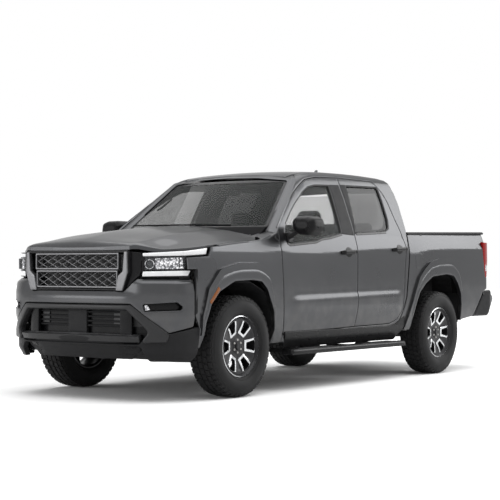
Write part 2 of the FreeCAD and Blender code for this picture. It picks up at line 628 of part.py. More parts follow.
FENDER = [
    (DOOR_FRONT + 40 - GAP, SILL), (DOOR_FRONT + 14 - GAP, BELT - 367), (DOOR_FRONT - GAP, BELT - 165),
    (DOOR_FRONT - 10 - GAP, BELT - 90), (FRONT_AXLE + 235, BELT - 84), (FRONT_AXLE - 43, BELT - 106),
    (FRONT_AXLE - 370, BELT - 138), (FRONT_AXLE - 415, BELT - 208), (FRONT_AXLE - 635, BELT - 222),
    (FRONT_AXLE - 630, BELT - 305), (FRONT_AXLE - 558, BELT - 305), (FRONT_AXLE - 558, SILL + 240),
    (FRONT_AXLE - 505, SILL + 140), (FRONT_AXLE - 505, SILL),
]
fender = side_skin(FENDER_DRAW, SKIN, BELT + 40, SILL).common(side_prism(FENDER, X_DOOR, FAR))
lip_stations = [(y, draw + size("flare_bulge")) for y, draw in FENDER_DRAW]
flare = side_skin(lip_stations, SKIN + size("flare_bulge"), BELT - 150, SILL + 60)
flare = flare.common(side_prism(FLARE_EDGE, X_DOOR, FAR)).common(side_prism(FENDER, X_DOOR, FAR))
fender_top = nose_top(0).cut(nose_top(SKIN)).common(plan_prism([
    (HALF - 43 + GAP, FRONT_AXLE - 290), (HALF - 50 + GAP, FRONT_AXLE + 20), (HALF - 56 + GAP, FRONT_AXLE + 240),
    (HALF - 62 + GAP, FRONT_AXLE + 300), (HALF - 127 + GAP, FRONT_AXLE + 336 + GAP),
    (HALF - 127, CAB_NOSE - SEAT), (HALF, CAB_NOSE - SEAT), (HALF, FRONT_AXLE - 290),
], SILL, ROOF))
hood_edge_keep = side_skin([(y, d - 0.01) for y, d in FENDER_DRAW], 120, BELT + 40, SILL)
fender_top = fender_top.common(hood_edge_keep)
fender = fused(fender, flare, fender_top).cut(side_prism(FRONT_ARCH, X_DOOR, FAR))
piece("front_fenders", both(fender))

# Nose in plan, the line that bumper, fascia and lamps follow: (x, distance from the nose)
NOSE_LINE = [
    (0, 5), (300, 18), (520, 50), (640, 96), (740, 158), (HALF - 92, 228), (HALF - 45, 308),
    (HALF - 20, 392), (HALF - 8, 470), (HALF - 3, 560),
]


def nose_wall(set_back, thick, z_low, z_high, reach=560):
    """Wall that follows the nose in plan, set back from its foremost line."""
    outer = [(x - set_back * 0.25, NOSE + d + set_back) for x, d in NOSE_LINE if d <= reach]
    inner = [(max(x - set_back * 0.25 - thick, 0) if x > 400 else x * 0.92, NOSE + d + set_back + thick)
             for x, d in NOSE_LINE if d <= reach]
    ring = symmetric(outer)[:len(outer)]
    left = [(-x, y) for x, y in reversed(outer[1:])]
    inner_left = [(-x, y) for x, y in inner[1:]]
    points = left + outer + list(reversed(inner)) + inner_left
    return plan_prism(points, z_low, z_high)


BUMPER_FRONT = symmetric([
    (0, 728), (535, 728, 30), (778, 508), (HALF + 40, 560), (HALF + 40, 915), (560, 912), (470, 815), (0, 815),
])
bumper = nose_wall(10, 40, 500, 930, 420).common(front_prism(BUMPER_FRONT, NOSE - 50, NOSE + 600))
bumper = bumper.cut(side_prism([
    (NOSE + 380, 480), (NOSE + 385, 930), (NOSE + 700, 930), (NOSE + 700, 480),
], -FAR, FAR))
FOG_SLOT = [(640, 672), (628, 724), (820, 740), (850, 700), (838, 680)]
fog = front_prism(FOG_SLOT, NOSE - 50, NOSE + 420)
bumper = bumper.cut(fog).cut(mirrored(fog))
stay = box(335, 395, NOSE + 40, NOSE + 135, 740, 800).cut(nose_wall(90 - SEAT, 120, 560, 1110, 300))
bumper = fused(bumper, stay, mirrored(stay))
piece("front_bumper", bumper)

FASCIA_FRONT = symmetric([
    (0, 724), (533, 724, 30), (776, 503), (HALF + 40, 552), (HALF + 40, 320), (800, 302), (0, 302),
])
fascia = nose_wall(0, 46, 302, 724, 420).common(front_prism(FASCIA_FRONT, NOSE - 50, NOSE + 700))
arch_clear = side_prism([
    (NOSE + 272, 290), (NOSE + 300, 420), (NOSE + 420, 552), (NOSE + 700, 700), (NOSE + 700, 290),
], -FAR, FAR)
fascia = fascia.cut(arch_clear)
intake = front_prism(symmetric([(0, 545), (415, 545), (415, 678), (0, 678)]), NOSE - 50, NOSE + 200)
fascia = fascia.cut(intake)
skid = front_prism(symmetric([(0, 320), (430, 320), (560, 500), (0, 500)]), NOSE - 50, NOSE + 25)
fascia = fascia.cut(skid)
tab_zone = box(200, 300, NOSE, NOSE + 120, 690, 760)
tabs = nose_wall(10, 60, 690, 760, 300).cut(nose_wall(10, 40 + SEAT, 722, 800, 300)).common(tab_zone)
fascia = fused(fascia, tabs, mirrored(tabs))
piece("lower_fascia", fascia)

# Grille: frame, bars and a lattice of crossing slats
GRILLE_LOW = size("grille_bottom")
GRILLE_HIGH = size("grille_top")
GRILLE_Y = NOSE + 48
SLAT = size("lattice_bar")
frame_outer = front_prism(symmetric([
    (0, GRILLE_LOW), (GRILLE_HALF - 44, GRILLE_LOW), (GRILLE_HALF + 8, 960), (GRILLE_HALF, GRILLE_HIGH),
    (0, GRILLE_HIGH),
]), GRILLE_Y, GRILLE_Y + 60)
LATTICE_HALF = GRILLE_HALF - 88
MIDDLE = (GRILLE_LOW + GRILLE_HIGH) / 2 + 5
tiers = [(GRILLE_LOW + 34, MIDDLE - 16), (MIDDLE + 16, GRILLE_HIGH - 50)]
grille = frame_outer
cells = []
lattice = []
for low, high in tiers:
    window = front_prism(symmetric([
        (0, low), (LATTICE_HALF - 12, low), (LATTICE_HALF, high), (0, high)]), GRILLE_Y - 1, GRILLE_Y + 61)
    grille = grille.cut(window)
    rows = 2
    pitch = (high - low) / rows
    width = 2.9 * pitch
    lean = math.atan2(pitch, width / 2)
    reach = LATTICE_HALF * 2.4
    columns = int(LATTICE_HALF * 2 / width) + 4
    for column in range(-columns, columns + 1):
        for way in (1, -1):
            slat = box(-reach, reach, GRILLE_Y + 16, GRILLE_Y + 30, -SLAT / 2, SLAT / 2)
            slat.rotate(Vector(0, 0, 0), Vector(0, 1, 0), -way * math.degrees(lean))
            slat.translate(Vector(column * width / 2 * 2, 0, low))
            lattice.append(slat.common(window))
lattice = [s for s in lattice if s.Volume > 1]
grille = fused(grille, *lattice)
piece("grille", grille)
# Headlamps: blocks behind the lens, with the upper light strip reaching back
LAMP_FRONT = [
    (590, 920), (598, 1100), (HALF - 20, 1128), (HALF + 20, 1128), (HALF + 20, 985), (HALF - 20, 960),
]
lamp_wall = nose_wall(36, 70, 900, 1150, 560)
lamp = lamp_wall.common(front_prism(LAMP_FRONT, NOSE, NOSE + 700)).common(side_prism([
    (NOSE, 900), (NOSE, 1098), (NOSE + 130, 1098), (NOSE + 540, 1146), (NOSE + 558, 1146), (NOSE + 530, 1084),
    (NOSE + 296, 1072), (NOSE + 296, 990), (NOSE + 240, 960), (NOSE + 240, 900),
], -FAR, FAR))
lamp = lamp.common(nose_top(size("hood_wall") + 8))
piece("headlamps", both(lamp))

# Core support: the dark panels round grille and lamps, with the crash beam behind
core = nose_wall(90, 60, 560, 1110, 300).cut(front_prism(symmetric([
    (0, GRILLE_LOW + 10), (LATTICE_HALF + 20, GRILLE_LOW + 10), (LATTICE_HALF + 20, GRILLE_HIGH - 30),
    (0, GRILLE_HIGH - 30)]), NOSE, NOSE + 300))
core = core.cut(front_prism(symmetric([(0, 560), (430, 560), (430, 690), (0, 690)]), NOSE, NOSE + 400))
core = core.common(nose_top(size("hood_wall") + 8)).cut(nose_wall(36 - SEAT, 70 + 2 * SEAT, 890, 1150, 560).cut(box(-560, 560, NOSE, 0, 0, ROOF)))
core = core.cut(box(-GRILLE_HALF - 12, GRILLE_HALF + 12, NOSE, GRILLE_Y + 60 + SEAT, GRILLE_LOW - 4, ROOF))
carriers = [box(way * 365 - 35, way * 365 + 35, NOSE + 110, NOSE + 150 - SEAT, 575, 720) for way in (1, -1)]
core = fused(core, *carriers)
piece("core_support", core)

# Ladder frame: rails that narrow at the front and rise over the rear axle
RAIL_W = size("rail_width")
RAIL_D = size("rail_depth")
LOW = size("rail_bottom")
HIGH = size("front_rail_bottom")
rail_side = [
    (NOSE + 150, HIGH), (NOSE + 150, HIGH + RAIL_D - 20), (FRONT_AXLE + 270, HIGH + RAIL_D - 20, 60),
    (FRONT_AXLE + 430, LOW + RAIL_D, 60), (CAB_REAR - 40, LOW + RAIL_D, 100),
    (REAR_AXLE - 380, HIGH + RAIL_D, 150), (REAR_AXLE + 380, HIGH + RAIL_D, 150), (GATE_REAR - 60, HIGH + RAIL_D - 30),
    (GATE_REAR - 60, HIGH - 30), (REAR_AXLE + 380, HIGH, 150), (REAR_AXLE - 380, HIGH, 150), (CAB_REAR - 40, LOW, 100),
    (FRONT_AXLE + 430, LOW, 60), (FRONT_AXLE + 270, HIGH, 60),
]
rail_plan = [
    (330, NOSE), (330 + RAIL_W, NOSE), (330 + RAIL_W, FRONT_AXLE + 480), (440 + RAIL_W, DOOR_FRONT + 250),
    (440 + RAIL_W, TAIL), (440, TAIL), (440, DOOR_FRONT + 270), (330, FRONT_AXLE + 500),
]
rail_solid = side_prism(rail_side, 200, 700).common(plan_prism(rail_plan, 300, 900))
crossings = []
for y, low, high, half in (
    (NOSE + 155, HIGH + 20, HIGH + 90, 345), (FRONT_AXLE - 430, HIGH, HIGH + 80, 345),
    (REAR_AXLE - 240, HIGH + 40, HIGH + 120, 450), (REAR_AXLE + 330, HIGH + 40, HIGH + 120, 450),
    (GATE_REAR - 130, HIGH + 20, HIGH + 60, 450),
):
    crossings.append(box(-half, half, y, y + 60, low, high))
dropped = symmetric([
    (0, LOW - 80), (210, LOW - 80), (445, LOW + 10), (445, LOW + 60), (420, LOW + 60), (190, LOW - 50), (0, LOW - 50),
])
for y in (FRONT_AXLE + 1288, CAB_REAR - 330):
    crossings.append(front_prism(dropped, y, y + 50))
mounts = []
for y in (DOOR_FRONT + 330, CAB_REAR - 420):
    mounts.append(tube(Vector(475, y, LOW + RAIL_D - 5), Vector(475, y, UNDERFLOOR - SEAT), 30))
frame_solid = fused(rail_solid, mirrored(rail_solid), *crossings, *mounts, *[mirrored(m) for m in mounts])
piece("ladder_frame", frame_solid)

# Bed: tub with floor, walls and wheelhouses
FLOOR_TOP = size("bed_floor_height")
BED_TOP = FLOOR_TOP + size("bed_depth") + 62
BED_HALF = size("bed_width") / 2
TUB = 14
tub_front = BED_FRONT + 16
tub = box(-BED_HALF - TUB, BED_HALF + TUB, tub_front, GATE_FRONT - GAP, FLOOR_TOP - 30, BED_TOP - 20)
tub = tub.cut(box(-BED_HALF, BED_HALF, tub_front + 28, GATE_FRONT + 10, FLOOR_TOP, BED_TOP))
HOUSE = size("wheelhouse_gap") / 2
house_profile = [
    (REAR_AXLE - 470, FLOOR_TOP - 30), (REAR_AXLE - 430, FLOOR_TOP + 130, 80), (REAR_AXLE - 300, FLOOR_TOP + 235, 90),
    (REAR_AXLE + 300, FLOOR_TOP + 235, 90), (REAR_AXLE + 430, FLOOR_TOP + 130, 80), (REAR_AXLE + 470, FLOOR_TOP - 30),
]
house = side_prism(house_profile, HOUSE, BED_HALF + TUB)
hollow = grown_prism(house_profile, -TUB, HOUSE + TUB, BED_HALF + TUB + 1)
hollow = hollow.fuse(box(HOUSE + TUB, BED_HALF + TUB + 1, REAR_AXLE - 440, REAR_AXLE + 440, FLOOR_TOP - 40, FLOOR_TOP + 60))
tub = tub.fuse([house, mirrored(house)])
tub = tub.cut(hollow).cut(mirrored(hollow))
ribs = []
rib_count = 11
for i in range(rib_count):
    x = -HOUSE + 60 + (2 * HOUSE - 120) * i / (rib_count - 1)
    ribs.append(box(x - 22, x + 22, tub_front + 60, GATE_FRONT - 40, FLOOR_TOP - 0.5, FLOOR_TOP + 9))
sills = [
    box(-HOUSE, HOUSE, y, y + 70, HIGH + RAIL_D + SEAT, FLOOR_TOP - 29)
    for y in (BED_FRONT + 330, REAR_AXLE - 20, REAR_AXLE + 350)
]
tub = fused(tub, *ribs, *sills)
piece("bed_tub", tub)

# Bed sides: outer skin, with the rail that bends over to the tub
REAR_ARCH = [
    (REAR_AXLE - 640, AXLE_Z - 100), (REAR_AXLE - 552, AXLE_Z + 172), (REAR_AXLE - 502, AXLE_Z + 288, 80),
    (REAR_AXLE - 436, AXLE_Z + 392, 80), (REAR_AXLE - 329, AXLE_Z + 470, 100), (REAR_AXLE - 190, AXLE_Z + 535, 120),
    (REAR_AXLE + 93, AXLE_Z + 557, 120), (REAR_AXLE + 240, AXLE_Z + 542, 70), (REAR_AXLE + 325, AXLE_Z + 466, 70),
    (REAR_AXLE + 388, AXLE_Z + 370, 80), (REAR_AXLE + 405, AXLE_Z + 259), (REAR_AXLE + 400, AXLE_Z + 129),
    (REAR_AXLE + 396, AXLE_Z - 100),
]
REAR_FLARE = [
    (REAR_AXLE - 700, AXLE_Z + 40), (REAR_AXLE - 506, AXLE_Z + 413, 80), (REAR_AXLE - 438, AXLE_Z + 524, 60),
    (REAR_AXLE - 341, AXLE_Z + 602, 60), (REAR_AXLE - 227, AXLE_Z + 668, 80), (REAR_AXLE - 57, AXLE_Z + 702, 120),
    (REAR_AXLE + 230, AXLE_Z + 702, 100), (REAR_AXLE + 384, AXLE_Z + 620, 60), (REAR_AXLE + 430, AXLE_Z + 500),
    (REAR_AXLE + 430, AXLE_Z + 100),
]
BED_EDGE = [(y + size("cab_bed_gap"), z) for y, z in CAB_BACK if z < BELT + 60]
LAMP_HEIGHTS = (920, 1272)
BED_SIDE = (
    BED_EDGE + [(BED_FRONT + 16, BED_TOP - 20), (GATE_REAR - 4, BED_TOP + 15), (GATE_REAR - 10, LAMP_HEIGHTS[1] + SEAT)]
    + [(GATE_REAR - 95, LAMP_HEIGHTS[1] + SEAT), (GATE_REAR - 78, 1029), (GATE_REAR - 58, LAMP_HEIGHTS[0] - SEAT)]
    + [(GATE_REAR - 16, LAMP_HEIGHTS[0] - SEAT), (GATE_REAR - 16, 808), (GATE_REAR - 110, 776), (GATE_REAR - 318, 534)]
    + [(REAR_AXLE + 399, 500), (REAR_AXLE - 100, 430), (REAR_AXLE - 640, 430)]
)
bed_skin_stations = [(BED_FRONT - 300, 0), (REAR_AXLE, 0), (GATE_REAR - 40, -6), (GATE_REAR, -22)]
bed_side = side_skin(bed_skin_stations, SKIN, BED_TOP + 40, 420).common(side_prism(BED_SIDE, X_DOOR, FAR))
rail = box(BED_HALF + TUB + SEAT, FAR, BED_FRONT + 16, GATE_REAR, BED_TOP - 34, BED_TOP + 40)
rail = rail.common(side_skin(bed_skin_stations, 120, BED_TOP + 40, 420)).common(side_prism(BED_SIDE, X_DOOR, FAR))
rear_post = box(BED_HALF + TUB + SEAT, FAR, GATE_FRONT - 80, GATE_REAR - 96, 776, BED_TOP - 20)
rear_post = rear_post.common(side_skin(bed_skin_stations, 120, BED_TOP + 40, 420))
front_post = box(BED_HALF + TUB + SEAT, FAR, BED_FRONT + 20, BED_FRONT + 60, 620, BED_TOP - 20)
front_post = front_post.common(side_skin(bed_skin_stations, 120, BED_TOP + 40, 420))
lip_skin = [(y, d + size("flare_bulge")) for y, d in bed_skin_stations]
rear_flare = side_skin(lip_skin, SKIN + size("flare_bulge"), BELT - 170, 440)
rear_flare = rear_flare.common(side_prism(REAR_FLARE, X_DOOR, FAR)).common(side_prism(BED_SIDE, X_DOOR, FAR))
GATE_AXIS = Vector(0, GATE_REAR - 28, FLOOR_TOP - 15)
GATE_PIN = size("gate_pin")
jamb_in = BED_HALF + TUB + SEAT
jamb = box(jamb_in, jamb_in + 20, GATE_REAR - 97, GATE_REAR - 18, FLOOR_TOP - 46, LAMP_HEIGHTS[0] - SEAT)
jamb_back = box(jamb_in, FAR, GATE_REAR - 97, GATE_REAR - 80, FLOOR_TOP - 46, LAMP_HEIGHTS[0] - SEAT)
jamb_back = jamb_back.common(side_skin(bed_skin_stations, 120, BED_TOP + 40, 420))
gate_pin = tube(Vector(jamb_in - 32, GATE_AXIS.y, GATE_AXIS.z), Vector(jamb_in + 5, GATE_AXIS.y, GATE_AXIS.z), GATE_PIN)
bed_side = fused(bed_side, rail, front_post, rear_post, rear_flare, jamb, jamb_back, gate_pin)
bed_side = bed_side.cut(side_prism(REAR_ARCH, X_DOOR, FAR))
piece("bed_sides", both(bed_side))

# Tail lamps wrap round the rear corners
tail_lamp = side_skin(bed_skin_stations, 74, LAMP_HEIGHTS[1], LAMP_HEIGHTS[0]).common(side_prism([
    (GATE_REAR - 94.7, LAMP_HEIGHTS[1]), (GATE_REAR - 77.7, 1029), (GATE_REAR - 57.7, LAMP_HEIGHTS[0]),
    (GATE_REAR - 6, LAMP_HEIGHTS[0]), (GATE_REAR, 1186), (GATE_REAR - 12, LAMP_HEIGHTS[1]),
], BED_HALF + TUB + 1, FAR))
piece("tail_lamps", both(tail_lamp))

# Tailgate
GATE_HALF = BED_HALF + TUB - GAP
gate = side_prism([
    (GATE_FRONT, FLOOR_TOP - 46, 25), (GATE_FRONT, BED_TOP - 4, 12), (GATE_REAR, BED_TOP - 4, 12),
    (GATE_REAR, FLOOR_TOP - 46, 25),
], -GATE_HALF, GATE_HALF)
recess = box(-GATE_HALF + 120, GATE_HALF - 120, GATE_REAR - 14, GATE_REAR + 10, FLOOR_TOP + 40, BED_TOP - 190)
handle_cup = box(-130, 130, GATE_REAR - 30, GATE_REAR + 10, BED_TOP - 140, BED_TOP - 70)
handle = box(-110, 110, GATE_REAR - 31, GATE_REAR - 6, BED_TOP - 112, BED_TOP - 84)
pin_bores = [
    tube(Vector(way * (jamb_in - 33), GATE_AXIS.y, GATE_AXIS.z), Vector(way * (jamb_in + 5), GATE_AXIS.y, GATE_AXIS.z),
         GATE_PIN + RUN)
    for way in (1, -1)
]
piece("tailgate", fused(gate.cut([recess, handle_cup, *pin_bores]), handle))

# Rear bumper with its step, end caps and the hitch receiver
bumper_side = [
    (GATE_REAR - 300, 529), (GATE_REAR - 99, 726), (GATE_REAR - 60, 738), (TAIL - 60, 738, 20),
    (TAIL - 40, 700, 16), (TAIL - 130, 555, 16), (TAIL - 170, 529),
]
end_cap = side_prism(bumper_side, HALF - 190, HALF - 16)
beam = side_prism([
    (GATE_REAR + 20, 560), (GATE_REAR + 20, 738), (TAIL, 738, 14), (TAIL, 640, 14), (TAIL - 60, 560),
], -HALF + 150, HALF - 150)
step_dip = box(-170, 170, GATE_REAR + 10, TAIL + 10, 700, 760)
plate_recess = box(-180, 180, TAIL - 30, TAIL + 10, 590, 690)
receiver = box(-32, 32, TAIL - 240, TAIL - 20, 470, 534).cut(box(-25, 25, TAIL - 250, TAIL - 10, 477, 527))
hanger = box(-60, 60, TAIL - 150, TAIL - 90, 533, 562)
cap_wall = end_cap.cut(side_prism([
    (GATE_REAR - 270, 520), (GATE_REAR - 84, 712), (TAIL - 70, 712), (TAIL - 60, 700), (TAIL - 140, 520),
], HALF - 200, HALF - 40))
arms = [box(way * 475 - 30, way * 475 + 30, GATE_REAR - 60 + SEAT, GATE_REAR + 25, 565, 640) for way in (1, -1)]
bumper_rear = fused(*arms, beam.cut(step_dip).cut(plate_recess), cap_wall, mirrored(cap_wall), receiver, hanger)
piece("rear_bumper", bumper_rear)

# Wheels
RIM = size("rim_radius")
TYRE = size("tyre_radius")
HALF_TYRE = size("tyre_width") / 2
TREAD = size("tread_width") / 2
SPOKES = int(size("spoke_count"))


def make_tyre(centre):
    """Tyre as a ring with a flat tread, sloping shoulders and bulging sidewalls."""
    bead = size("rim_depth") / 2 - 12 - SEAT
    half_profile = [
        (bead, RIM + SEAT), (HALF_TYRE, RIM + 86), (HALF_TYRE - 6, TYRE - 40), (TREAD + 2, TYRE - 10), (TREAD - 18, TYRE),
    ]
    return spun(symmetric(half_profile), centre)


def make_rim(centre, outward, hub_reach):
    """Rim with its barrel, six wide spokes and hub; outward is +1 or -1 along X."""
    half = size("rim_depth") / 2
    bead = RIM - 12
    barrel = [
        (-half, RIM), (-half + 12, RIM), (-half + 14, bead), (half - 14, bead), (half - 12, RIM), (half, RIM),
        (half, RIM - 10), (half - 20, bead - 12), (-half + 20, bead - 12), (-half, RIM - 10),
    ]
    wheel = spun([(a * outward, r) for a, r in barrel], centre)
    disc_face = [
        (half - 42, 0), (half - 42, bead - 11), (half - 18, bead - 11), (half - 34, 60), (half - 26, 52), (half - 22, 0),
    ]
    disc = spun([(a * outward, r) for a, r in disc_face], centre)
    cutters = []
    for i in range(SPOKES):
        pocket = [
            (RIM * 0.44, -RIM * 0.05), (RIM * 0.85, -RIM * 0.20), (RIM * 0.865, 0), (RIM * 0.85, RIM * 0.20),
            (RIM * 0.44, RIM * 0.05),
        ]
        angle = 360 / SPOKES * (i + 0.5) + 90
        wire = outline([(r, w, 8) for r, w in pocket], lambda p: Vector(0, p.y, p.x))
        window = Part.Face(wire).extrude(Vector(2 * half, 0, 0))
        window.translate(Vector(-half, 0, 0))
        window.rotate(Vector(0, 0, 0), Vector(1, 0, 0), angle)
        window.translate(centre)
        cutters.append(window)
    disc = disc.cut(cutters)
    start = (half - 42) * outward
    hub = spun([(start, 0), (start, 62), (-hub_reach * outward, 62), (-hub_reach * outward, 0)], centre)
    rotor_at = -hub_reach * outward
    rotor = spun([(rotor_at, 62), (rotor_at, 160), (rotor_at + 24 * outward, 160), (rotor_at + 24 * outward, 62)], centre)
    return fused(wheel, disc, hub, rotor)


HUB_REACH = 12
for end, station in (("front", FRONT_AXLE), ("rear", REAR_AXLE)):
    for side, way in (("left", 1), ("right", -1)):
        centre = Vector(way * HALF_TRACK, station, AXLE_Z)
        piece(f"{end}_{side}_tyre", make_tyre(centre))
        piece(f"{end}_{side}_rim", make_rim(centre, way, HUB_REACH))

# Knuckles carry the front wheels and turn about the steering axis
KINGPIN = size("kingpin_offset")
hub_end = HALF_TRACK - HUB_REACH - RUN
knuckle = fused(
    tube(Vector(hub_end, FRONT_AXLE, AXLE_Z), Vector(KINGPIN - 25, FRONT_AXLE, AXLE_Z), 55),
    tube(Vector(KINGPIN, FRONT_AXLE, AXLE_Z - 97 + RUN), Vector(KINGPIN, FRONT_AXLE, AXLE_Z + 97 - RUN), 20),
    box(KINGPIN - 18, KINGPIN + 18, FRONT_AXLE, FRONT_AXLE + 140, AXLE_Z - 45, AXLE_Z - 20),
)
knuckle_turn = mirrored(knuckle)
piece("left_knuckle", knuckle)
piece("right_knuckle", knuckle_turn)

RACK_Z = AXLE_Z - 2
RACK_R = 14

# Front suspension: arms, spring struts and the cross member they hang from
ball_x = KINGPIN
lower_arm = plan_prism([
    (ball_x + 8, FRONT_AXLE - 16, 8), (400, FRONT_AXLE - 190, 12), (372, FRONT_AXLE - 190), (372, FRONT_AXLE - 110),
    (520, FRONT_AXLE, 30), (372, FRONT_AXLE + 110), (372, FRONT_AXLE + 190), (400, FRONT_AXLE + 190, 12),
    (ball_x + 8, FRONT_AXLE + 16, 8),
], AXLE_Z - 132, AXLE_Z - 97)
upper_arm = plan_prism([
    (ball_x + 8, FRONT_AXLE - 16, 8), (420, FRONT_AXLE - 120, 12), (402, FRONT_AXLE - 120), (402, FRONT_AXLE - 80),
    (560, FRONT_AXLE, 30), (402, FRONT_AXLE + 80), (402, FRONT_AXLE + 120), (420, FRONT_AXLE + 120, 12),
    (ball_x + 8, FRONT_AXLE + 16, 8),
], AXLE_Z + 97, AXLE_Z + 122)
strut = fused(
    tube(Vector(540, FRONT_AXLE, AXLE_Z - 100), Vector(470, FRONT_AXLE, AXLE_Z + 420), 22),
    tube(Vector(516, FRONT_AXLE, AXLE_Z + 80), Vector(470, FRONT_AXLE, AXLE_Z + 420), 55),
)
tower = box(400, 560, FRONT_AXLE - 90, FRONT_AXLE + 90, AXLE_Z + 405, AXLE_Z + 430)
tower_leg = box(400 + SEAT, 420, FRONT_AXLE - 110, FRONT_AXLE + 110, AXLE_Z + 97, AXLE_Z + 430)
subframe = box(-372, 372, FRONT_AXLE - 80, FRONT_AXLE + 60, AXLE_Z - 132, AXLE_Z - 60)
sub_rails = [
    box(way * 350 - 25, way * 350 + 25, FRONT_AXLE - 200, FRONT_AXLE + 250, AXLE_Z - 132, AXLE_Z - 80)
    for way in (1, -1)
]
sub_legs = [
    box(way * 350 - 20, way * 350 + 20, FRONT_AXLE + at, FRONT_AXLE + at + 60, AXLE_Z - 90, HIGH - SEAT)
    for way in (1, -1) for at in (-200, 183)
]
sides = [lower_arm, upper_arm, strut, tower, tower_leg]
rack_beam = box(-372, 372, FRONT_AXLE + 130, FRONT_AXLE + 190, AXLE_Z - 100, AXLE_Z - 55)
saddles = [
    box(way * 180 - 20, way * 180 + 20, FRONT_AXLE + 145, FRONT_AXLE + 175, AXLE_Z - 60, RACK_Z - RACK_R - SEAT)
    for way in (1, -1)
]
piece("front_suspension", fused(*sides, rack_beam, *saddles, *[mirrored(s) for s in sides], subframe, *sub_rails, *sub_legs))

# Steering rack slides across the truck with its tie rods
rack_y = FRONT_AXLE + 140
rack = fused(
    tube(Vector(-330, rack_y + 20, RACK_Z), Vector(330, rack_y + 20, RACK_Z), RACK_R),
    rod_path([Vector(-ball_x, rack_y - 10, RACK_Z), Vector(-330, rack_y + 20, RACK_Z)], 10),
    rod_path([Vector(ball_x, rack_y - 10, RACK_Z), Vector(330, rack_y + 20, RACK_Z)], 10),
)
piece("steering_rack", rack)

# Rear axle: tube, differential, leaf springs and propeller shaft
axle_end = HALF_TRACK - HUB_REACH - RUN
axle = tube(Vector(-axle_end, REAR_AXLE, AXLE_Z), Vector(axle_end, REAR_AXLE, AXLE_Z), 42)
pumpkin = spun([(-120, 0), (-120, 66), (-70, 125), (70, 125), (120, 66), (120, 0)], Vector(0, REAR_AXLE, AXLE_Z))
nose_tube = tube(Vector(0, REAR_AXLE, AXLE_Z), Vector(0, REAR_AXLE - 210, AXLE_Z + 10), 60)
GEARBOX_END = Vector(0, FRONT_AXLE + 790, AXLE_Z + 67)
shaft = tube(Vector(0, REAR_AXLE - 200, AXLE_Z + 10), GEARBOX_END + Vector(0, 10, 0), 35)
springs = []
for way in (1, -1):
    x = way * 545
    leaf = side_prism([
        (REAR_AXLE - 680, AXLE_Z + 130), (REAR_AXLE - 350, AXLE_Z + 62, 400), (REAR_AXLE, AXLE_Z + 42, 600),
        (REAR_AXLE + 350, AXLE_Z + 80, 400), (REAR_AXLE + 620, AXLE_Z + 160), (REAR_AXLE + 620, AXLE_Z + 172),
        (REAR_AXLE + 350, AXLE_Z + 100, 400), (REAR_AXLE, AXLE_Z + 78, 600), (REAR_AXLE - 350, AXLE_Z + 86, 400),
        (REAR_AXLE - 680, AXLE_Z + 144),
    ], x - 32, x + 32)
    springs.append(leaf)
    inner = way * (510 + SEAT)
    for y, z, top in ((REAR_AXLE - 680, AXLE_Z + 137, 40), (REAR_AXLE + 620, AXLE_Z + 166, 50)):
        springs.append(tube(Vector(inner, y, z), Vector(x + way * 32, y, z), 20))
        springs.append(box(min(inner, inner + way * 12), max(inner, inner + way * 12), y - 22, y + 22, z - 10, z + top + 60))
    springs.append(box(x - 36, x + 36, REAR_AXLE - 55, REAR_AXLE + 55, AXLE_Z + 30, AXLE_Z + 92))
piece("rear_axle", fused(axle, pumpkin, nose_tube, shaft, *springs))

# Engine, gearbox and radiator
engine_foot = box(267, 330 - SEAT, FRONT_AXLE - 40, FRONT_AXLE + 60, 640, 700)
engine = fused(
    box(-270, 270, FRONT_AXLE - 330, FRONT_AXLE + 300, 665, 1030),
    box(-180, 180, FRONT_AXLE - 300, FRONT_AXLE + 330, 470, 667),
    tube(Vector(0, FRONT_AXLE + 300, 560), GEARBOX_END, 90), engine_foot, mirrored(engine_foot),
)
radiator = box(-322, 322, NOSE + 178, NOSE + 215, HIGH + 90 + SEAT, 1080)
piece("engine", engine)
piece("radiator", radiator)

# Wheel liners over the front wheels
LINER = 4
liner_ring = [
    (FRONT_AXLE - 478, AXLE_Z + 60), (FRONT_AXLE - 452, AXLE_Z + 200, 60), (FRONT_AXLE - 395, AXLE_Z + 340, 80),
    (FRONT_AXLE - 300, AXLE_Z + 430, 90), (FRONT_AXLE - 100, AXLE_Z + 498, 120), (FRONT_AXLE + 110, AXLE_Z + 498, 120),
    (FRONT_AXLE + 290, AXLE_Z + 430, 90), (FRONT_AXLE + 385, AXLE_Z + 330, 80), (FRONT_AXLE + 422, AXLE_Z + 160, 60),
    (FRONT_AXLE + 423, AXLE_Z + 20),
]
outer_ring = side_prism(liner_ring + [(FRONT_AXLE + 300, AXLE_Z - 60), (FRONT_AXLE - 300, AXLE_Z - 60)], 575, HALF - 16)
inner_ring = grown_prism(liner_ring + [(FRONT_AXLE + 300, AXLE_Z - 60), (FRONT_AXLE - 300, AXLE_Z - 60)], -LINER, 570, HALF)
liner = outer_ring.cut(inner_ring).cut(box(500, HALF, FRONT_AXLE - 600, FRONT_AXLE + 600, 0, AXLE_Z + 30))
liner = liner.common(side_skin([(FRONT_AXLE - 700, -SKIN - 60), (FRONT_AXLE - 300, -SKIN - SEAT), (DOOR_FRONT, -SKIN - SEAT)], 400, BELT, SILL - 20))
piece("wheel_liners", both(liner))

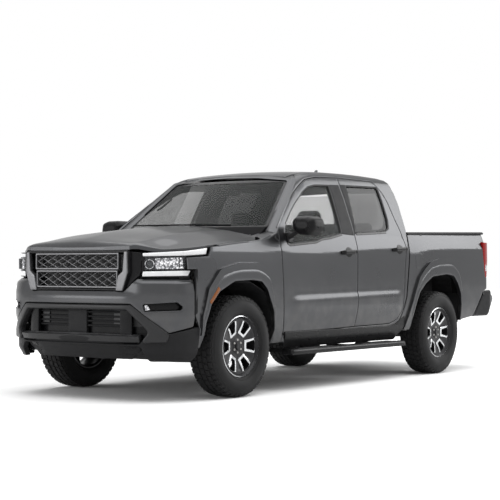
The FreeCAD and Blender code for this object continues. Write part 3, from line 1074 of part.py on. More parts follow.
# Running boards hang from the frame
BOARD_TOP = SILL - 60
board = side_prism([
    (DOOR_FRONT + 130, BOARD_TOP - 45), (DOOR_FRONT + 150, BOARD_TOP, 12), (DOOR_REAR - 60, BOARD_TOP, 12),
    (DOOR_REAR - 30, BOARD_TOP - 45),
], HALF - 100, HALF + 8)
hangers = []
for y in (DOOR_FRONT + 330, PILLAR + 120, DOOR_REAR - 260):
    hangers.append(side_prism([(y, BOARD_TOP - 40), (y, BOARD_TOP - 10), (y + 50, BOARD_TOP - 10), (y + 50, BOARD_TOP - 40)], 520, HALF - 60))
    hangers.append(box(510 + SEAT, 540, y, y + 50, BOARD_TOP - 40, LOW + 60))
board = fused(board, *hangers)
piece("running_boards", both(board))

# Exhaust, fuel tank and spare wheel under the floor
pipe = rod_path([
    Vector(-230, FRONT_AXLE + 280, 530), Vector(-280, FRONT_AXLE + 800, 500), Vector(-300, FRONT_AXLE + 1420, 500),
], 30)
silencer = fused(pipe, box(-400, -220, FRONT_AXLE + 1400, FRONT_AXLE + 2100, 400, 540))
tail_pipe = rod_path([
    Vector(-330, FRONT_AXLE + 2090, 500), Vector(-350, REAR_AXLE - 420, 520), Vector(-370, REAR_AXLE - 160, 560),
    Vector(-370, REAR_AXLE + 160, 560), Vector(-390, REAR_AXLE + 420, 470), Vector(-640, REAR_AXLE + 760, 440),
    Vector(-700, REAR_AXLE + 960, 420),
], 30)
hang = box(-340, -300, FRONT_AXLE + 1700, FRONT_AXLE + 1730, 535, UNDERFLOOR - SEAT)
piece("exhaust", fused(silencer, tail_pipe, hang))
tank = box(190, 425, PILLAR - 100, CAB_REAR - 380, 390, 550)
strap = [box(200, 440 - SEAT, y, y + 40, 495, 552) for y in (PILLAR, CAB_REAR - 450)]
piece("fuel_tank", fused(tank, *strap))
spare = spun([
    (-110, 210), (-120, 320), (-100, 370), (100, 370), (120, 320), (110, 210),
], Vector(0, 0, 0))
spare.rotate(Vector(0, 0, 0), Vector(0, 1, 0), 90)
SPARE_Y = REAR_AXLE + 545
spare.translate(Vector(0, SPARE_Y, 440))
winch = box(-30, 30, SPARE_Y - 30, SPARE_Y + 30, 450, FLOOR_TOP - 30 - SEAT)
spare_disc = tube(Vector(0, SPARE_Y, 450), Vector(0, SPARE_Y, 470), 215)
piece("spare_wheel", fused(spare, spare_disc, winch))

# Cabin: dashboard, seats, steering wheel
DASH_HALF = HALF - PILLAR_FACE - 68
dash = side_prism([
    (FIREWALL + 20, 860), (FIREWALL + 20, BELT - 70), (FIREWALL + 130, BELT - 28, 30), (DOOR_FRONT + 300, BELT - 40, 40),
    (DOOR_FRONT + 330, BELT - 130, 40), (DOOR_FRONT + 260, 900, 30),
], -DASH_HALF, DASH_HALF)
console = box(-110, 110, DOOR_FRONT + 230, DOOR_FRONT + 1000, FLOOR + 130 + SEAT, FLOOR + 290)
dash_foot = box(-110, 110, FIREWALL + 30, DOOR_FRONT + 280, FLOOR + 130 + SEAT, 905)
wheel_centre = Vector(370, DOOR_FRONT + 440, 1140)
column_way = Vector(0, -math.cos(math.radians(25)), -math.sin(math.radians(25)))
COLUMN = 95
shroud = tube(wheel_centre + column_way * (COLUMN + RUN), wheel_centre + column_way * (COLUMN + 160), 38)
dash_arms = [box(-DASH_HALF, DASH_HALF, FIREWALL + SEAT, FIREWALL + 30, 900, 1000)]
piece("dashboard", fused(dash, console, dash_foot, shroud, *dash_arms))


def seat_shape(centre_x, width, front, top):
    """Cushion, back and headrest as one soft solid standing on its legs."""
    half = width / 2
    base = FLOOR + SEAT
    cushion = side_prism([
        (front, base + 190, 40), (front + 20, base + 320, 50), (front + 480, base + 270), (front + 480, base + 160),
    ], centre_x - half, centre_x + half)
    back = side_prism([
        (front + 430, base + 170), (front + 430, base + 290), (front + 560, top - 170, 40),
        (front + 660, top - 180, 40), (front + 590, base + 170),
    ], centre_x - half, centre_x + half)
    legs = box(centre_x - half + 60, centre_x + half - 60, front + 60, front + 480, base, base + 200)
    return [cushion, back, legs]


front_seats = []
for way in (1, -1):
    x = way * 370
    solids = seat_shape(x, 500, DOOR_FRONT + 560, 1500)
    head_y = DOOR_FRONT + 1180
    solids.append(side_prism([
        (head_y - 30, 1350, 25), (head_y - 20, 1520, 35), (head_y + 70, 1520, 35), (head_y + 60, 1350, 25),
    ], x - 130, x + 130))
    solids.append(box(x - 60, x + 60, head_y - 5, head_y + 35, 1300, 1360))
    front_seats.append(fused(*solids))
piece("front_seats", Part.makeCompound(front_seats))
bench = seat_shape(0, 1340, DOOR_FRONT + 1430, 1470)
for x in (-400, 0, 400):
    bench.append(side_prism([
        (DOOR_FRONT + 2030, 1270), (DOOR_FRONT + 2030, 1440, 30), (DOOR_FRONT + 2105, 1440, 30), (DOOR_FRONT + 2105, 1270),
    ], x - 120, x + 120))
piece("rear_seat", fused(*bench).common(cab_inner))

WHEEL_R = size("steering_wheel_radius")
ring = Part.makeTorus(WHEEL_R - 15, 15, wheel_centre, column_way)
hub = tube(wheel_centre - column_way * 20, wheel_centre + column_way * 30, 70)
bars = []
for turn in (0, 90, 180):
    bar = box(0, WHEEL_R - 12, -18, 18, -6, 6)
    bar.rotate(Vector(0, 0, 0), Vector(0, 0, 1), -turn)
    bar.rotate(Vector(0, 0, 0), Vector(1, 0, 0), -65)
    bar.translate(wheel_centre)
    bars.append(bar)
column = tube(wheel_centre, wheel_centre + column_way * COLUMN, 22)
piece("steering_wheel", fused(ring, hub, *bars, column))

# Mirrors ride on the front doors
mirror_y = DOOR_FRONT + 165
shell_points = [
    (HALF - 5, 1250), (HALF + 15, 1290, 20), (HALF + 10, 1385, 30), (HALF + 60, 1412, 30), (HALF + 205, 1392, 40),
    (HALF + 215, 1310, 40), (HALF + 160, 1268, 30),
]
housing = front_prism(shell_points, mirror_y - 70, mirror_y + 60)
housing = housing.cut(front_prism([
    (HALF + 30, 1300, 15), (HALF + 28, 1375, 15), (HALF + 70, 1396, 15), (HALF + 195, 1380, 20), (HALF + 200, 1312, 25),
    (HALF + 155, 1285, 20),
], mirror_y + 45, mirror_y + 70))
foot = side_prism([
    (mirror_y - 75, 1195, 8), (mirror_y - 70, 1290, 8), (mirror_y + 30, 1290, 8), (mirror_y + 30, 1225, 8),
], HALF - 60, HALF + 20)
foot = foot.cut(cab_volume(-SEAT, -SEAT, 0))
neck = box(HALF - 20, HALF + 20, mirror_y - 60, mirror_y + 30, 1235, 1275).cut(cab_volume(-SEAT, -SEAT, 0))
mirror = fused(housing, neck, foot)
piece("left_mirror", mirror)
piece("right_mirror", mirrored(mirror))

# Every object must have computed, and every solid must be sound, before writing
doc.recompute()
for item in doc.Objects:
    if "Invalid" in item.State or "Error" in item.State:
        raise RuntimeError(f"{item.Label} did not compute")
for name, feature in NODES.items():
    shape = feature.Shape
    if shape.isNull() or not shape.isValid() or not shape.Solids:
        raise RuntimeError(f"{name} is not a sound solid")
    print(name, len(shape.Solids), round(shape.Volume / 1e6, 2))
os.makedirs("parts", exist_ok=True)
for name, feature in NODES.items():
    feature.Shape.exportStep(f"parts/{name}.step")
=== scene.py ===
"""Crew-cab pickup truck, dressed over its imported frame: panels, glass, lamps, wheels and cabin."""

import math

import bpy
import numpy as np
from bpy.props import FloatProperty, FloatVectorProperty, IntProperty, PointerProperty
from mathutils import Matrix, Vector
from mathutils.geometry import delaunay_2d_cdt


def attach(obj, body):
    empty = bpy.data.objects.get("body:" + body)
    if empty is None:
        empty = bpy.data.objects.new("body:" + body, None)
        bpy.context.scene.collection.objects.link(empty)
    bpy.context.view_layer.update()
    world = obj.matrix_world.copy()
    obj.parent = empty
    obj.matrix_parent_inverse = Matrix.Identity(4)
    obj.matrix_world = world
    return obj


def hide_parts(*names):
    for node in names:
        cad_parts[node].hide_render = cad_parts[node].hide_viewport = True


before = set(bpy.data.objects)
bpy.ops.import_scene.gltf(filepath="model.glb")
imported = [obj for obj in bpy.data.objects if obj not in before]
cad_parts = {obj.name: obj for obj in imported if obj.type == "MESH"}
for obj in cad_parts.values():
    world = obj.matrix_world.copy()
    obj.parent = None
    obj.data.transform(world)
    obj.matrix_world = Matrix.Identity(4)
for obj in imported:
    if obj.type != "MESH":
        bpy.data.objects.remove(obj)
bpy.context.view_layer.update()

bl_info = {
    "name": "Pickup Truck Dresser",
    "version": (1, 0, 0),
    "blender": (4, 5, 0),
    "location": "View3D > Sidebar > Truck",
    "description": "Builds the visible panels, wheels, lamps and cabin of a pickup truck on its frame",
    "category": "Object",
}

# Stations along the truck (nose is negative) and heights, in millimetres
NOSE = -2670
FRONT_AXLE = -1725
REAR_AXLE = 1475
DOOR_FRONT = -1187
PILLAR = -48
DOOR_REAR = 825
CAB_REAR = 901
BED_FRONT = 921
GATE_REAR = 2500
HALF = 907
SILL = 400
BELT = 1290
RAIL = 1800
GAP = 7
AXLE_Z = 393
HALF_TRACK = 785
BED_TOP = 1345
MM = 0.001
WHEELS = {
    "front_left_wheel": (1, FRONT_AXLE), "front_right_wheel": (-1, FRONT_AXLE),
    "rear_left_wheel": (1, REAR_AXLE), "rear_right_wheel": (-1, REAR_AXLE),
}


# Curves and outlines

def smooth(*pairs):
    """A curve through (x, y) pairs that never overshoots them, as a function of an array."""
    xs, ys = (np.array(values, float) for values in zip(*pairs))
    span = np.diff(xs)
    slope = np.diff(ys) / span
    lean = np.empty_like(ys)
    same = slope[:-1] * slope[1:] > 0
    total = np.where(same, slope[:-1] + slope[1:], 1)
    lean[1:-1] = np.where(same, 2 * slope[:-1] * slope[1:] / total, 0)
    lean[0], lean[-1] = slope[0], slope[-1]

    def at(x):
        x = np.clip(np.asarray(x, float), xs[0], xs[-1])
        i = np.clip(np.searchsorted(xs, x) - 1, 0, len(span) - 1)
        t = (x - xs[i]) / span[i]
        near = (1 + 2 * t) * (1 - t) ** 2 * ys[i] + t * (1 - t) ** 2 * span[i] * lean[i]
        far = t * t * (3 - 2 * t) * ys[i + 1] + t * t * (t - 1) * span[i] * lean[i + 1]
        return near + far

    return at


def ease(low, high, x):
    """0 below low, 1 above high and a smooth step between."""
    t = np.clip((np.asarray(x, float) - low) / (high - low), 0, 1)
    return t * t * (3 - 2 * t)


def rounded(points, step=12):
    """Closed outline through (u, v) or (u, v, radius) points, walked in short steps."""
    corners = [np.array(p[:2], float) for p in points]
    radii = [p[2] if len(p) > 2 else 0 for p in points]
    walk = []
    for i, corner in enumerate(corners):
        back, ahead = corners[i - 1] - corner, corners[(i + 1) % len(corners)] - corner
        lengths = np.hypot(*back), np.hypot(*ahead)
        if not radii[i]:
            walk.append(corner)
            continue
        back, ahead = back / lengths[0], ahead / lengths[1]
        half = math.acos(np.clip(back @ ahead, -1, 1)) / 2
        reach = min(radii[i] / math.tan(half), 0.48 * lengths[0], 0.48 * lengths[1])
        if reach < 0.05:
            walk.append(corner)
            continue
        radius = reach * math.tan(half)
        middle = (back + ahead) / np.linalg.norm(back + ahead)
        centre = corner + middle * radius / math.sin(half)
        start, end = corner + back * reach - centre, corner + ahead * reach - centre
        sweep = math.atan2(start[0] * end[1] - start[1] * end[0], start @ end)
        count = max(2, int(abs(sweep) * radius / step) + 1, int(abs(sweep) / 0.3))
        for k in range(count + 1):
            a = sweep * k / count
            walk.append(centre + [start[0] * math.cos(a) - start[1] * math.sin(a),
                                  start[0] * math.sin(a) + start[1] * math.cos(a)])
    dense = []
    for a, b in zip(walk, walk[1:] + walk[:1]):
        parts = max(1, int(np.hypot(*(b - a)) / step + 0.5))
        dense += [a + (b - a) * k / parts for k in range(parts)]
    loop = np.array(dense)
    x, y = loop.T
    if np.sum(x * np.roll(y, -1) - np.roll(x, -1) * y) < 0:
        loop = loop[::-1]
    return loop


def inset(loop, by):
    """An outline moved to its left by a distance, which is inwards for one that runs anticlockwise."""
    ahead = np.roll(loop, -1, 0) - loop
    ahead /= np.maximum(np.linalg.norm(ahead, axis=1, keepdims=True), 1e-9)
    behind = np.roll(ahead, 1, 0)
    total = ahead + behind
    left = np.stack([-total[:, 1], total[:, 0]], 1)
    left /= np.maximum(np.linalg.norm(left, axis=1, keepdims=True), 1e-9)
    cosine = np.sqrt(np.clip((1 + np.sum(ahead * behind, 1)) / 2, 0.16, 1))
    return loop + left * (by / cosine)[:, None]


def within(points, loop):
    """Which points lie inside a closed outline."""
    x, y = points.T
    inside = np.zeros(len(points), bool)
    for (x0, y0), (x1, y1) in zip(loop, np.roll(loop, -1, 0)):
        if y0 == y1:
            continue
        crosses = (y0 > y) != (y1 > y)
        inside ^= crosses & (x < (x1 - x0) * (y - y0) / (y1 - y0) + x0)
    return inside


def clear_of(points, loop, distance):
    """Which points stay further than a distance from an outline's points."""
    clear = np.ones(len(points), bool)
    for start in range(0, len(points), 4000):
        part = points[start:start + 4000]
        gaps = part[:, None, :] - loop[None, :, :]
        clear[start:start + 4000] = (gaps ** 2).sum(2).min(1) > distance ** 2
    return clear


# Pieces

class Stock:
    """Vertices and faces gathered for one piece, in millimetres, with a finish number for each face."""

    def __init__(self):
        self.points = []
        self.faces = []
        self.finishes = []

    def add(self, points, faces, finish=0):
        base = sum(len(p) for p in self.points)
        self.points.append(np.asarray(points, float))
        self.faces += [tuple(base + i for i in face) for face in faces]
        self.finishes += [finish] * len(faces)
        return self

    def join(self, other, finish=None):
        base = sum(len(p) for p in self.points)
        self.points += other.points
        self.faces += [tuple(base + i for i in face) for face in other.faces]
        self.finishes += other.finishes if finish is None else [finish] * len(other.faces)
        return self

    def moved(self, change):
        """A copy with a function applied to all its points."""
        copy = Stock()
        copy.points = [change(np.vstack(self.points))]
        copy.faces = list(self.faces)
        copy.finishes = list(self.finishes)
        return copy

    def flipped(self):
        """A copy on the other side of the truck."""
        copy = self.moved(lambda p: p * [-1, 1, 1])
        copy.faces = [face[::-1] for face in copy.faces]
        return copy


def link_mesh(name, stock):
    """A new object with a stock's points, in metres, and its faces."""
    mesh = bpy.data.meshes.new(name)
    mesh.from_pydata((np.vstack(stock.points) * MM).tolist(), [], stock.faces)
    obj = bpy.data.objects.new(name, mesh)
    bpy.context.scene.collection.objects.link(obj)
    return obj


def smooth_mesh(mesh, sharp):
    """Smooth faces, with sharp edges where they meet at more than an angle in degrees."""
    mesh.polygons.foreach_set("use_smooth", [True] * len(mesh.polygons))
    mesh.set_sharp_from_angle(angle=math.radians(sharp))


def put(name, stock, body, finish, sharp=38, replaces=()):
    """Makes the object of a piece and tells the frame what it rides on; finish is one name or a list."""
    finishes = [finish] if isinstance(finish, str) else finish
    obj = link_mesh(name, stock)
    mesh = obj.data
    for each in finishes:
        mesh.materials.append(finish_named(each))
    mesh.polygons.foreach_set("material_index", stock.finishes)
    mesh.validate()
    smooth_mesh(mesh, sharp)
    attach(obj, body)
    if replaces:
        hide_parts(*replaces)
    return obj


def moved_by(x, y, z):
    """A shift given in millimetres."""
    return Matrix.Translation(Vector((x, y, z)) * MM)


def both_hands(stock):
    """A piece for the left and its mirror for the right."""
    return ("left", stock), ("right", stock.flipped())


def put_both(name, stock, body, finish, replaces=()):
    """Puts a piece on both sides; {} in a name stands for the side, and a node without it is on both."""
    for hand, shape in both_hands(stock):
        nodes = [node.format(hand) for node in replaces if "{}" in node or hand == "left"]
        put(name.format(hand), shape, body.format(hand), finish, replaces=nodes)


def surface_normals(surface, uv, out):
    """Outward unit normals of a surface at its (u, v) points."""
    step = 0.5
    du = surface(uv + [step, 0]) - surface(uv - [step, 0])
    dv = surface(uv + [0, step]) - surface(uv - [0, step])
    normal = np.cross(du, dv) * out
    return normal / np.maximum(np.linalg.norm(normal, axis=1, keepdims=True), 1e-9)


def skin(surface, edge, holes=(), lift=1.2, roll=3.5, depth=13, grid=16, seams=(), out=1, grow=0.6,
         closed=False, step=12):
    """A panel cut from a surface, with edges that roll over and run down; out is -1 where u x v points in."""
    loops = [inset(rounded(edge, step), -grow)]
    loops += [inset(rounded(hole, step), grow)[::-1] for hole in holes]
    inner = [inset(loop, roll) for loop in loops]
    low, high = loops[0].min(0), loops[0].max(0)
    us = np.arange(low[0] + grid / 2, high[0], grid)
    vs = np.arange(low[1] + grid / 2, high[1], grid)
    net = np.array([(u, v) for u in us for v in vs]) if len(us) and len(vs) else np.zeros((0, 2))
    if len(net):
        keep = within(net, inner[0])
        for loop in inner[1:]:
            keep &= ~within(net, loop)
        net = net[keep]
    for loop in inner:
        if len(net):
            net = net[clear_of(net, loop, grid * 0.45)]
    flat = [tuple(p) for loop in inner for p in loop]
    edges = []
    base = 0
    for loop in inner:
        edges += [(base + k, base + (k + 1) % len(loop)) for k in range(len(loop))]
        base += len(loop)
    for seam in seams:
        line = np.array(seam, float)
        ok = within(line, inner[0])
        for loop in inner:
            ok &= clear_of(line, loop, 4)
        for loop in inner[1:]:
            ok &= ~within(line, loop)
        if len(net):
            net = net[clear_of(net, line, grid * 0.4)]
        for k in range(len(line) - 1):
            if ok[k] and ok[k + 1]:
                start = len(flat)
                flat += [tuple(line[k]), tuple(line[k + 1])]
                edges.append((start, start + 1))
    flat += [tuple(p) for p in net]
    made = delaunay_2d_cdt([Vector(p) for p in flat], edges, [], 0, 1e-4)
    uv = np.array([tuple(v) for v in made[0]])
    tri = np.array([f for f in made[2] if len(f) == 3])
    centre = uv[tri].mean(1)
    keep = within(centre, inner[0])
    for loop in inner[1:]:
        keep &= ~within(centre, loop)
    tri = tri[keep]
    a, b, c = uv[tri[:, 0]], uv[tri[:, 1]], uv[tri[:, 2]]
    turned = (b[:, 0] - a[:, 0]) * (c[:, 1] - a[:, 1]) - (b[:, 1] - a[:, 1]) * (c[:, 0] - a[:, 0]) < 0
    tri[turned] = tri[turned][:, ::-1]
    where = {}
    for index, sources in enumerate(made[3]):
        for source in sources:
            where[source] = index
    normal = surface_normals(surface, uv, out)
    points = [surface(uv) + normal * lift]
    faces = [tuple(f) for f in tri]
    count = len(uv)
    base = 0
    rims = []
    for loop, core in zip(loops, inner):
        ring = [where[base + k] for k in range(len(core))]
        base += len(core)
        for turn in (30, 60, 90):
            a = math.radians(turn)
            at = core + (loop - core) * math.sin(a)
            n = surface_normals(surface, at, out)
            points.append(surface(at) + n * (lift - roll * (1 - math.cos(a))))
            fresh = list(range(count, count + len(at)))
            count += len(at)
            faces += band(ring, fresh)
            ring = fresh
        n = surface_normals(surface, loop, out)
        points.append(surface(loop) + n * (lift - roll - depth))
        fresh = list(range(count, count + len(loop)))
        count += len(loop)
        faces += band(ring, fresh)
        rims.append((fresh, len(core)))
    if closed:
        shift = count
        back = surface(uv) + normal * (lift - roll - depth)
        points.append(back)
        faces += [tuple(shift + i for i in f[::-1]) for f in tri]
        base = 0
        for ring, size in rims:
            core = [shift + where[base + k] for k in range(size)]
            base += size
            faces += band(ring, core)
    stock = Stock()
    if out < 0:
        faces = [f[::-1] for f in faces]
    return stock.add(np.vstack(points), faces)


def slab(surface, edge, roll, depth, lift=0, **options):
    """A closed piece cut from a surface exactly along its outline."""
    return skin(surface, edge, lift=lift, roll=roll, depth=depth, grow=0, closed=True, **options)


def inlay(surface, edge, lift, roll, depth, **options):
    """An open skin over a surface, cut exactly along its outline."""
    return skin(surface, edge, lift=lift, roll=roll, depth=depth, grow=0, **options)


def band(inner, outer):
    """Quads between two rings of equal length, the second outside or below the first."""
    n = len(inner)
    return [(inner[k], outer[k], outer[(k + 1) % n], inner[(k + 1) % n]) for k in range(n)]


def tube(path, radius, sides=12, closed=False, caps=True):
    """A round bar along points; the radius may change from point to point."""
    path = np.array(path, float)
    count = len(path)
    radii = np.broadcast_to(np.asarray(radius, float), (count,))
    ahead = np.gradient(path, axis=0)
    if closed:
        ahead = np.roll(path, -1, 0) - np.roll(path, 1, 0)
    ahead /= np.linalg.norm(ahead, axis=1, keepdims=True)
    side = np.cross(ahead[0], [0.3, 0.5, 1.0])
    points, faces = [], []
    for k in range(count):
        side = side - ahead[k] * (side @ ahead[k])
        side /= np.linalg.norm(side)
        up = np.cross(ahead[k], side)
        for j in range(sides):
            a = 2 * math.pi * j / sides
            points.append(path[k] + radii[k] * (math.cos(a) * side + math.sin(a) * up))
    last = count if closed else count - 1
    for k in range(last):
        for j in range(sides):
            a, b = k * sides + j, k * sides + (j + 1) % sides
            c, d = ((k + 1) % count) * sides + (j + 1) % sides, ((k + 1) % count) * sides + j
            faces.append((a, b, c, d))
    if caps and not closed:
        faces.append(tuple(range(sides))[::-1])
        faces.append(tuple((count - 1) * sides + j for j in range(sides)))
    return Stock().add(points, faces)


def through(points, parts=6, closed=False):
    """Points along a smooth line through the given ones."""
    p = np.array(points, float)
    n = len(p)
    line = []
    for k in range(n if closed else n - 1):
        if closed:
            a, b, c, d = p[(k - 1) % n], p[k], p[(k + 1) % n], p[(k + 2) % n]
        else:
            a, b, c, d = p[max(k - 1, 0)], p[k], p[k + 1], p[min(k + 2, n - 1)]
        for j in range(parts):
            t = j / parts
            line.append(0.5 * (2 * b + (c - a) * t + (2 * a - 5 * b + 4 * c - d) * t ** 2
                               + (3 * b - a - 3 * c + d) * t ** 3))
    if not closed:
        line.append(p[-1])
    return np.array(line)


def lathe(profile, steps=96, centre=(0, 0, 0), out=1):
    """Turns a closed line of (across, radius) points about a line along X; out is -1 to reverse it."""
    profile = np.array(profile, float)
    points, faces = [], []
    for k in range(steps):
        a = 2 * math.pi * k / steps
        for across, radius in profile:
            points.append((across, radius * math.cos(a), radius * math.sin(a)))
    n = len(profile)
    for k in range(steps):
        for j in range(n):
            a, b = k * n + j, k * n + (j + 1) % n
            c, d = ((k + 1) % steps) * n + (j + 1) % n, ((k + 1) % steps) * n + j
            faces.append((a, b, c, d)[::out])
    return Stock().add(np.array(points) + centre, faces)


def block(low, high, round_by=3):
    """A box with rounded edges, between two corners."""
    low, high = np.array(low, float), np.array(high, float)
    size = high - low
    r = min(round_by, *(size / 2.001))
    edge = [(low[0], low[1], r * 1.5), (high[0], low[1], r * 1.5), (high[0], high[1], r * 1.5),
            (low[0], high[1], r * 1.5)]
    top = high[2]

    def level(uv):
        return np.column_stack([uv, np.full(len(uv), top)])

    return skin(level, edge, lift=0, roll=r, depth=size[2] - r, grid=400, grow=0, closed=True, step=40)


# Shader nodes written as sums

class Wire:
    """A socket of a material; sums written on it add Math nodes."""

    def __init__(self, tree, socket):
        self.tree = tree
        self.socket = socket

    def node(self, kind, settings=None, inputs=None, output=0):
        return add_node(self.tree, kind, settings, inputs, output)

    def math(self, operation, *values):
        return self.node("ShaderNodeMath", {"operation": operation}, dict(enumerate(values)))

    def __add__(self, other):
        return self.math("ADD", self, other)

    def __radd__(self, other):
        return self.math("ADD", other, self)

    def __sub__(self, other):
        return self.math("SUBTRACT", self, other)

    def __rsub__(self, other):
        return self.math("SUBTRACT", other, self)

    def __mul__(self, other):
        return self.math("MULTIPLY", self, other)

    def __rmul__(self, other):
        return self.math("MULTIPLY", other, self)

    def __gt__(self, other):
        return self.math("GREATER_THAN", self, other)

    def __lt__(self, other):
        return self.math("LESS_THAN", self, other)


def add_node(tree, kind, settings=None, inputs=None, output=0):
    """A node with its settings made first and then its inputs, given by number or name."""
    node = tree.nodes.new(kind)
    for key, value in (settings or {}).items():
        if key == "stops":
            ramp = node.color_ramp
            while len(ramp.elements) < len(value):
                ramp.elements.new(0.5)
            for element, (position, color) in zip(ramp.elements, value):
                element.position = position
                element.color = (*color, 1)
        else:
            setattr(node, key, value)
    for key, value in (inputs or {}).items():
        if isinstance(value, Wire):
            tree.links.new(value.socket, node.inputs[key])
        else:
            node.inputs[key].default_value = value
    return Wire(tree, node.outputs[output])


class Finish:
    """A material being made: its shader and the pattern nodes that feed it."""

    def __init__(self, name, **values):
        self.material = bpy.data.materials.new(name)
        self.material.use_nodes = True
        self.tree = self.material.node_tree
        self.shader = self.tree.nodes["Principled BSDF"]
        self.set(**values)
        self.place = self.node("ShaderNodeTexCoord", output=3)

    def node(self, kind, settings=None, inputs=None, output=0):
        return add_node(self.tree, kind, settings, inputs, output)

    def set(self, **values):
        for key, value in values.items():
            name = key.replace("_", " ")
            socket = self.shader.inputs[name]
            if isinstance(value, Wire):
                self.tree.links.new(value.socket, socket)
            elif isinstance(value, tuple) and len(value) == 3:
                socket.default_value = (*value, 1)
            else:
                socket.default_value = value

    def noise(self, scale, detail=2.0, roughness=0.5, place=None):
        return self.node("ShaderNodeTexNoise", None,
                         {"Vector": place or self.place, "Scale": scale, "Detail": detail,
                          "Roughness": roughness})

    def cells(self, scale, feature="F1", place=None):
        return self.node("ShaderNodeTexVoronoi", {"feature": feature},
                         {"Vector": place or self.place, "Scale": scale})

    def wave(self, direction, scale, distortion=0.0):
        return self.node("ShaderNodeTexWave", {"bands_direction": direction},
                         {"Vector": self.place, "Scale": scale, "Distortion": distortion}, 1)

    def axis(self, number):
        return self.node("ShaderNodeSeparateXYZ", None, {0: self.place}, number)

    def mix(self, share, first, second):
        """A colour between two, by a share from 0 to 1."""
        first, second = (c if isinstance(c, Wire) else (*c, 1) for c in (first, second))
        return self.node("ShaderNodeMix", {"data_type": "RGBA"}, {0: share, 6: first, 7: second}, 2)

    def span(self, value, low, high, to_low, to_high):
        """A value taken from one range to another, held at its ends."""
        return self.node("ShaderNodeMapRange", None, {0: value, 1: low, 2: high, 3: to_low, 4: to_high})

    def bump(self, height, distance, strength=1.0):
        self.set(Normal=self.node("ShaderNodeBump", None,
                                  {"Height": height, "Distance": distance, "Strength": strength}))
        return self


# Finishes

def body_paint():
    """Metallic body paint: fine flake under clear lacquer, a little uneven and dusty low down."""
    colours = bpy.context.scene.truck_colours
    f = Finish("grey_paint", Coat_Weight=0.16, Coat_Roughness=0.05, Coat_IOR=1.5, Specular_IOR_Level=0.3,
               Specular_Tint=(0.6, 0.6, 0.6))
    flake = f.cells(2600)
    sparkle = f.span(f.noise(900, 1.0), 0.35, 0.7, 0.0, 1.0)
    drift = f.noise(1.4, 2.0)
    low = f.span(f.axis(2), 0.35, 0.95, 1.0, 0.0)
    dust = low * f.span(f.noise(9, 4.0), 0.4, 0.75, 0.0, 0.22)
    dark = tuple(c * 0.86 for c in colours.paint)
    light = tuple(min(1, c * 1.16) for c in colours.paint)
    base = f.mix(sparkle * 0.55 + drift * 0.35, dark, light)
    f.set(Base_Color=f.mix(dust, base, (0.2, 0.19, 0.175)),
          Metallic=f.span(dust, 0, 0.25, colours.paint_metal, 0.3),
          Roughness=f.span(drift + dust * 2, 0.3, 0.9, 0.27, 0.36))
    return f.bump(flake, 0.00004, 0.25)


def clouded(name, tones, rough, cloud, bump, settings):
    """A finish whose tone and roughness drift with one noise, with a fine bump from another or none."""
    f = Finish(name, **settings)
    drift = f.noise(*cloud)
    f.set(Base_Color=f.mix(drift, *tones), Roughness=f.span(drift, 0.3, 0.7, *rough))
    if bump:
        scale, detail, depth, strength = bump
        f.bump(f.noise(scale, detail), depth, strength)
    return f


def grained(name, colour, roughness, grain=900, depth=0.00025, gloss=0.25):
    """Moulded plastic with a grain of small cells."""
    f = Finish(name, Specular_IOR_Level=gloss)
    cells = f.cells(grain)
    cloud = f.noise(22, 3.0)
    f.set(Base_Color=f.mix(cloud, tuple(c * 0.8 for c in colour), tuple(min(1, c * 1.25) for c in colour)),
          Roughness=f.span(cloud, 0.3, 0.7, roughness - 0.07, roughness + 0.07))
    return f.bump(cells, depth, 0.5)


def moulded(name, share, *values):
    """Grained plastic in a share of the colour set for the lower parts."""
    return grained(name, tuple(c * share for c in bpy.context.scene.truck_colours.plastic), *values)


def glassy(name, tint, see):
    """Thin glass of which a share hides what is behind it."""
    f = Finish(name, Coat_Weight=0.04, Coat_Roughness=0.01, Specular_IOR_Level=0.06)
    cloud = f.noise(5, 2.0)
    f.set(Base_Color=f.mix(cloud, tuple(c * 0.85 for c in tint), tint),
          Alpha=f.span(cloud, 0.3, 0.7, see - 0.02, see + 0.02),
          Roughness=f.span(cloud, 0.3, 0.7, 0.02, 0.04))
    f.material.surface_render_method = "BLENDED"
    return f.bump(f.noise(3, 1.0), 0.0001, 0.2)


def chassis_paint():
    """Black frame paint with dust on what faces up."""
    f = Finish("chassis_black", Metallic=0.2)
    up = f.node("ShaderNodeSeparateXYZ", None, {0: f.node("ShaderNodeNewGeometry", output=1)}, 2)
    dust = f.span(up, 0.3, 0.95, 0.0, 0.4) * f.span(f.noise(18, 4.0), 0.35, 0.7, 0.0, 1.0)
    f.set(Base_Color=f.mix(dust, (0.016, 0.016, 0.017), (0.07, 0.065, 0.058)),
          Roughness=f.span(dust, 0, 0.4, 0.5, 0.8))
    return f.bump(f.noise(120, 4.0), 0.0004, 0.5)


def lamp_reflector():
    """Bright reflector behind the lamp lens, in facets with a painted glint in each middle and painted shade
    towards each edge.
    """
    f = Finish("lamp_bright", Metallic=1.0)
    # Painted light: each facet runs from a painted glint at its middle to painted shade at its edges.
    facet_glint_shade = f.span(f.cells(62), 0.2, 0.75, 0.0, 1.0)
    f.set(Base_Color=f.mix(facet_glint_shade, (0.9, 0.9, 0.92), (0.12, 0.12, 0.13)),
          Roughness=f.span(f.noise(60, 2.0), 0.3, 0.7, 0.1, 0.2))
    return f.bump(f.noise(300, 2.0), 0.00005, 0.4)


def lamp_strip():
    """Milky light strip."""
    f = Finish("lamp_strip", Coat_Weight=0.3, Coat_Roughness=0.03, Emission_Strength=0.08)
    cloud = f.noise(40, 2.0)
    tone = f.mix(cloud, (0.86, 0.87, 0.88), (0.97, 0.97, 0.98))
    f.set(Base_Color=tone, Emission_Color=tone, Roughness=f.span(cloud, 0.3, 0.7, 0.2, 0.3))
    return f.bump(f.noise(500, 2.0), 0.00005, 0.4)


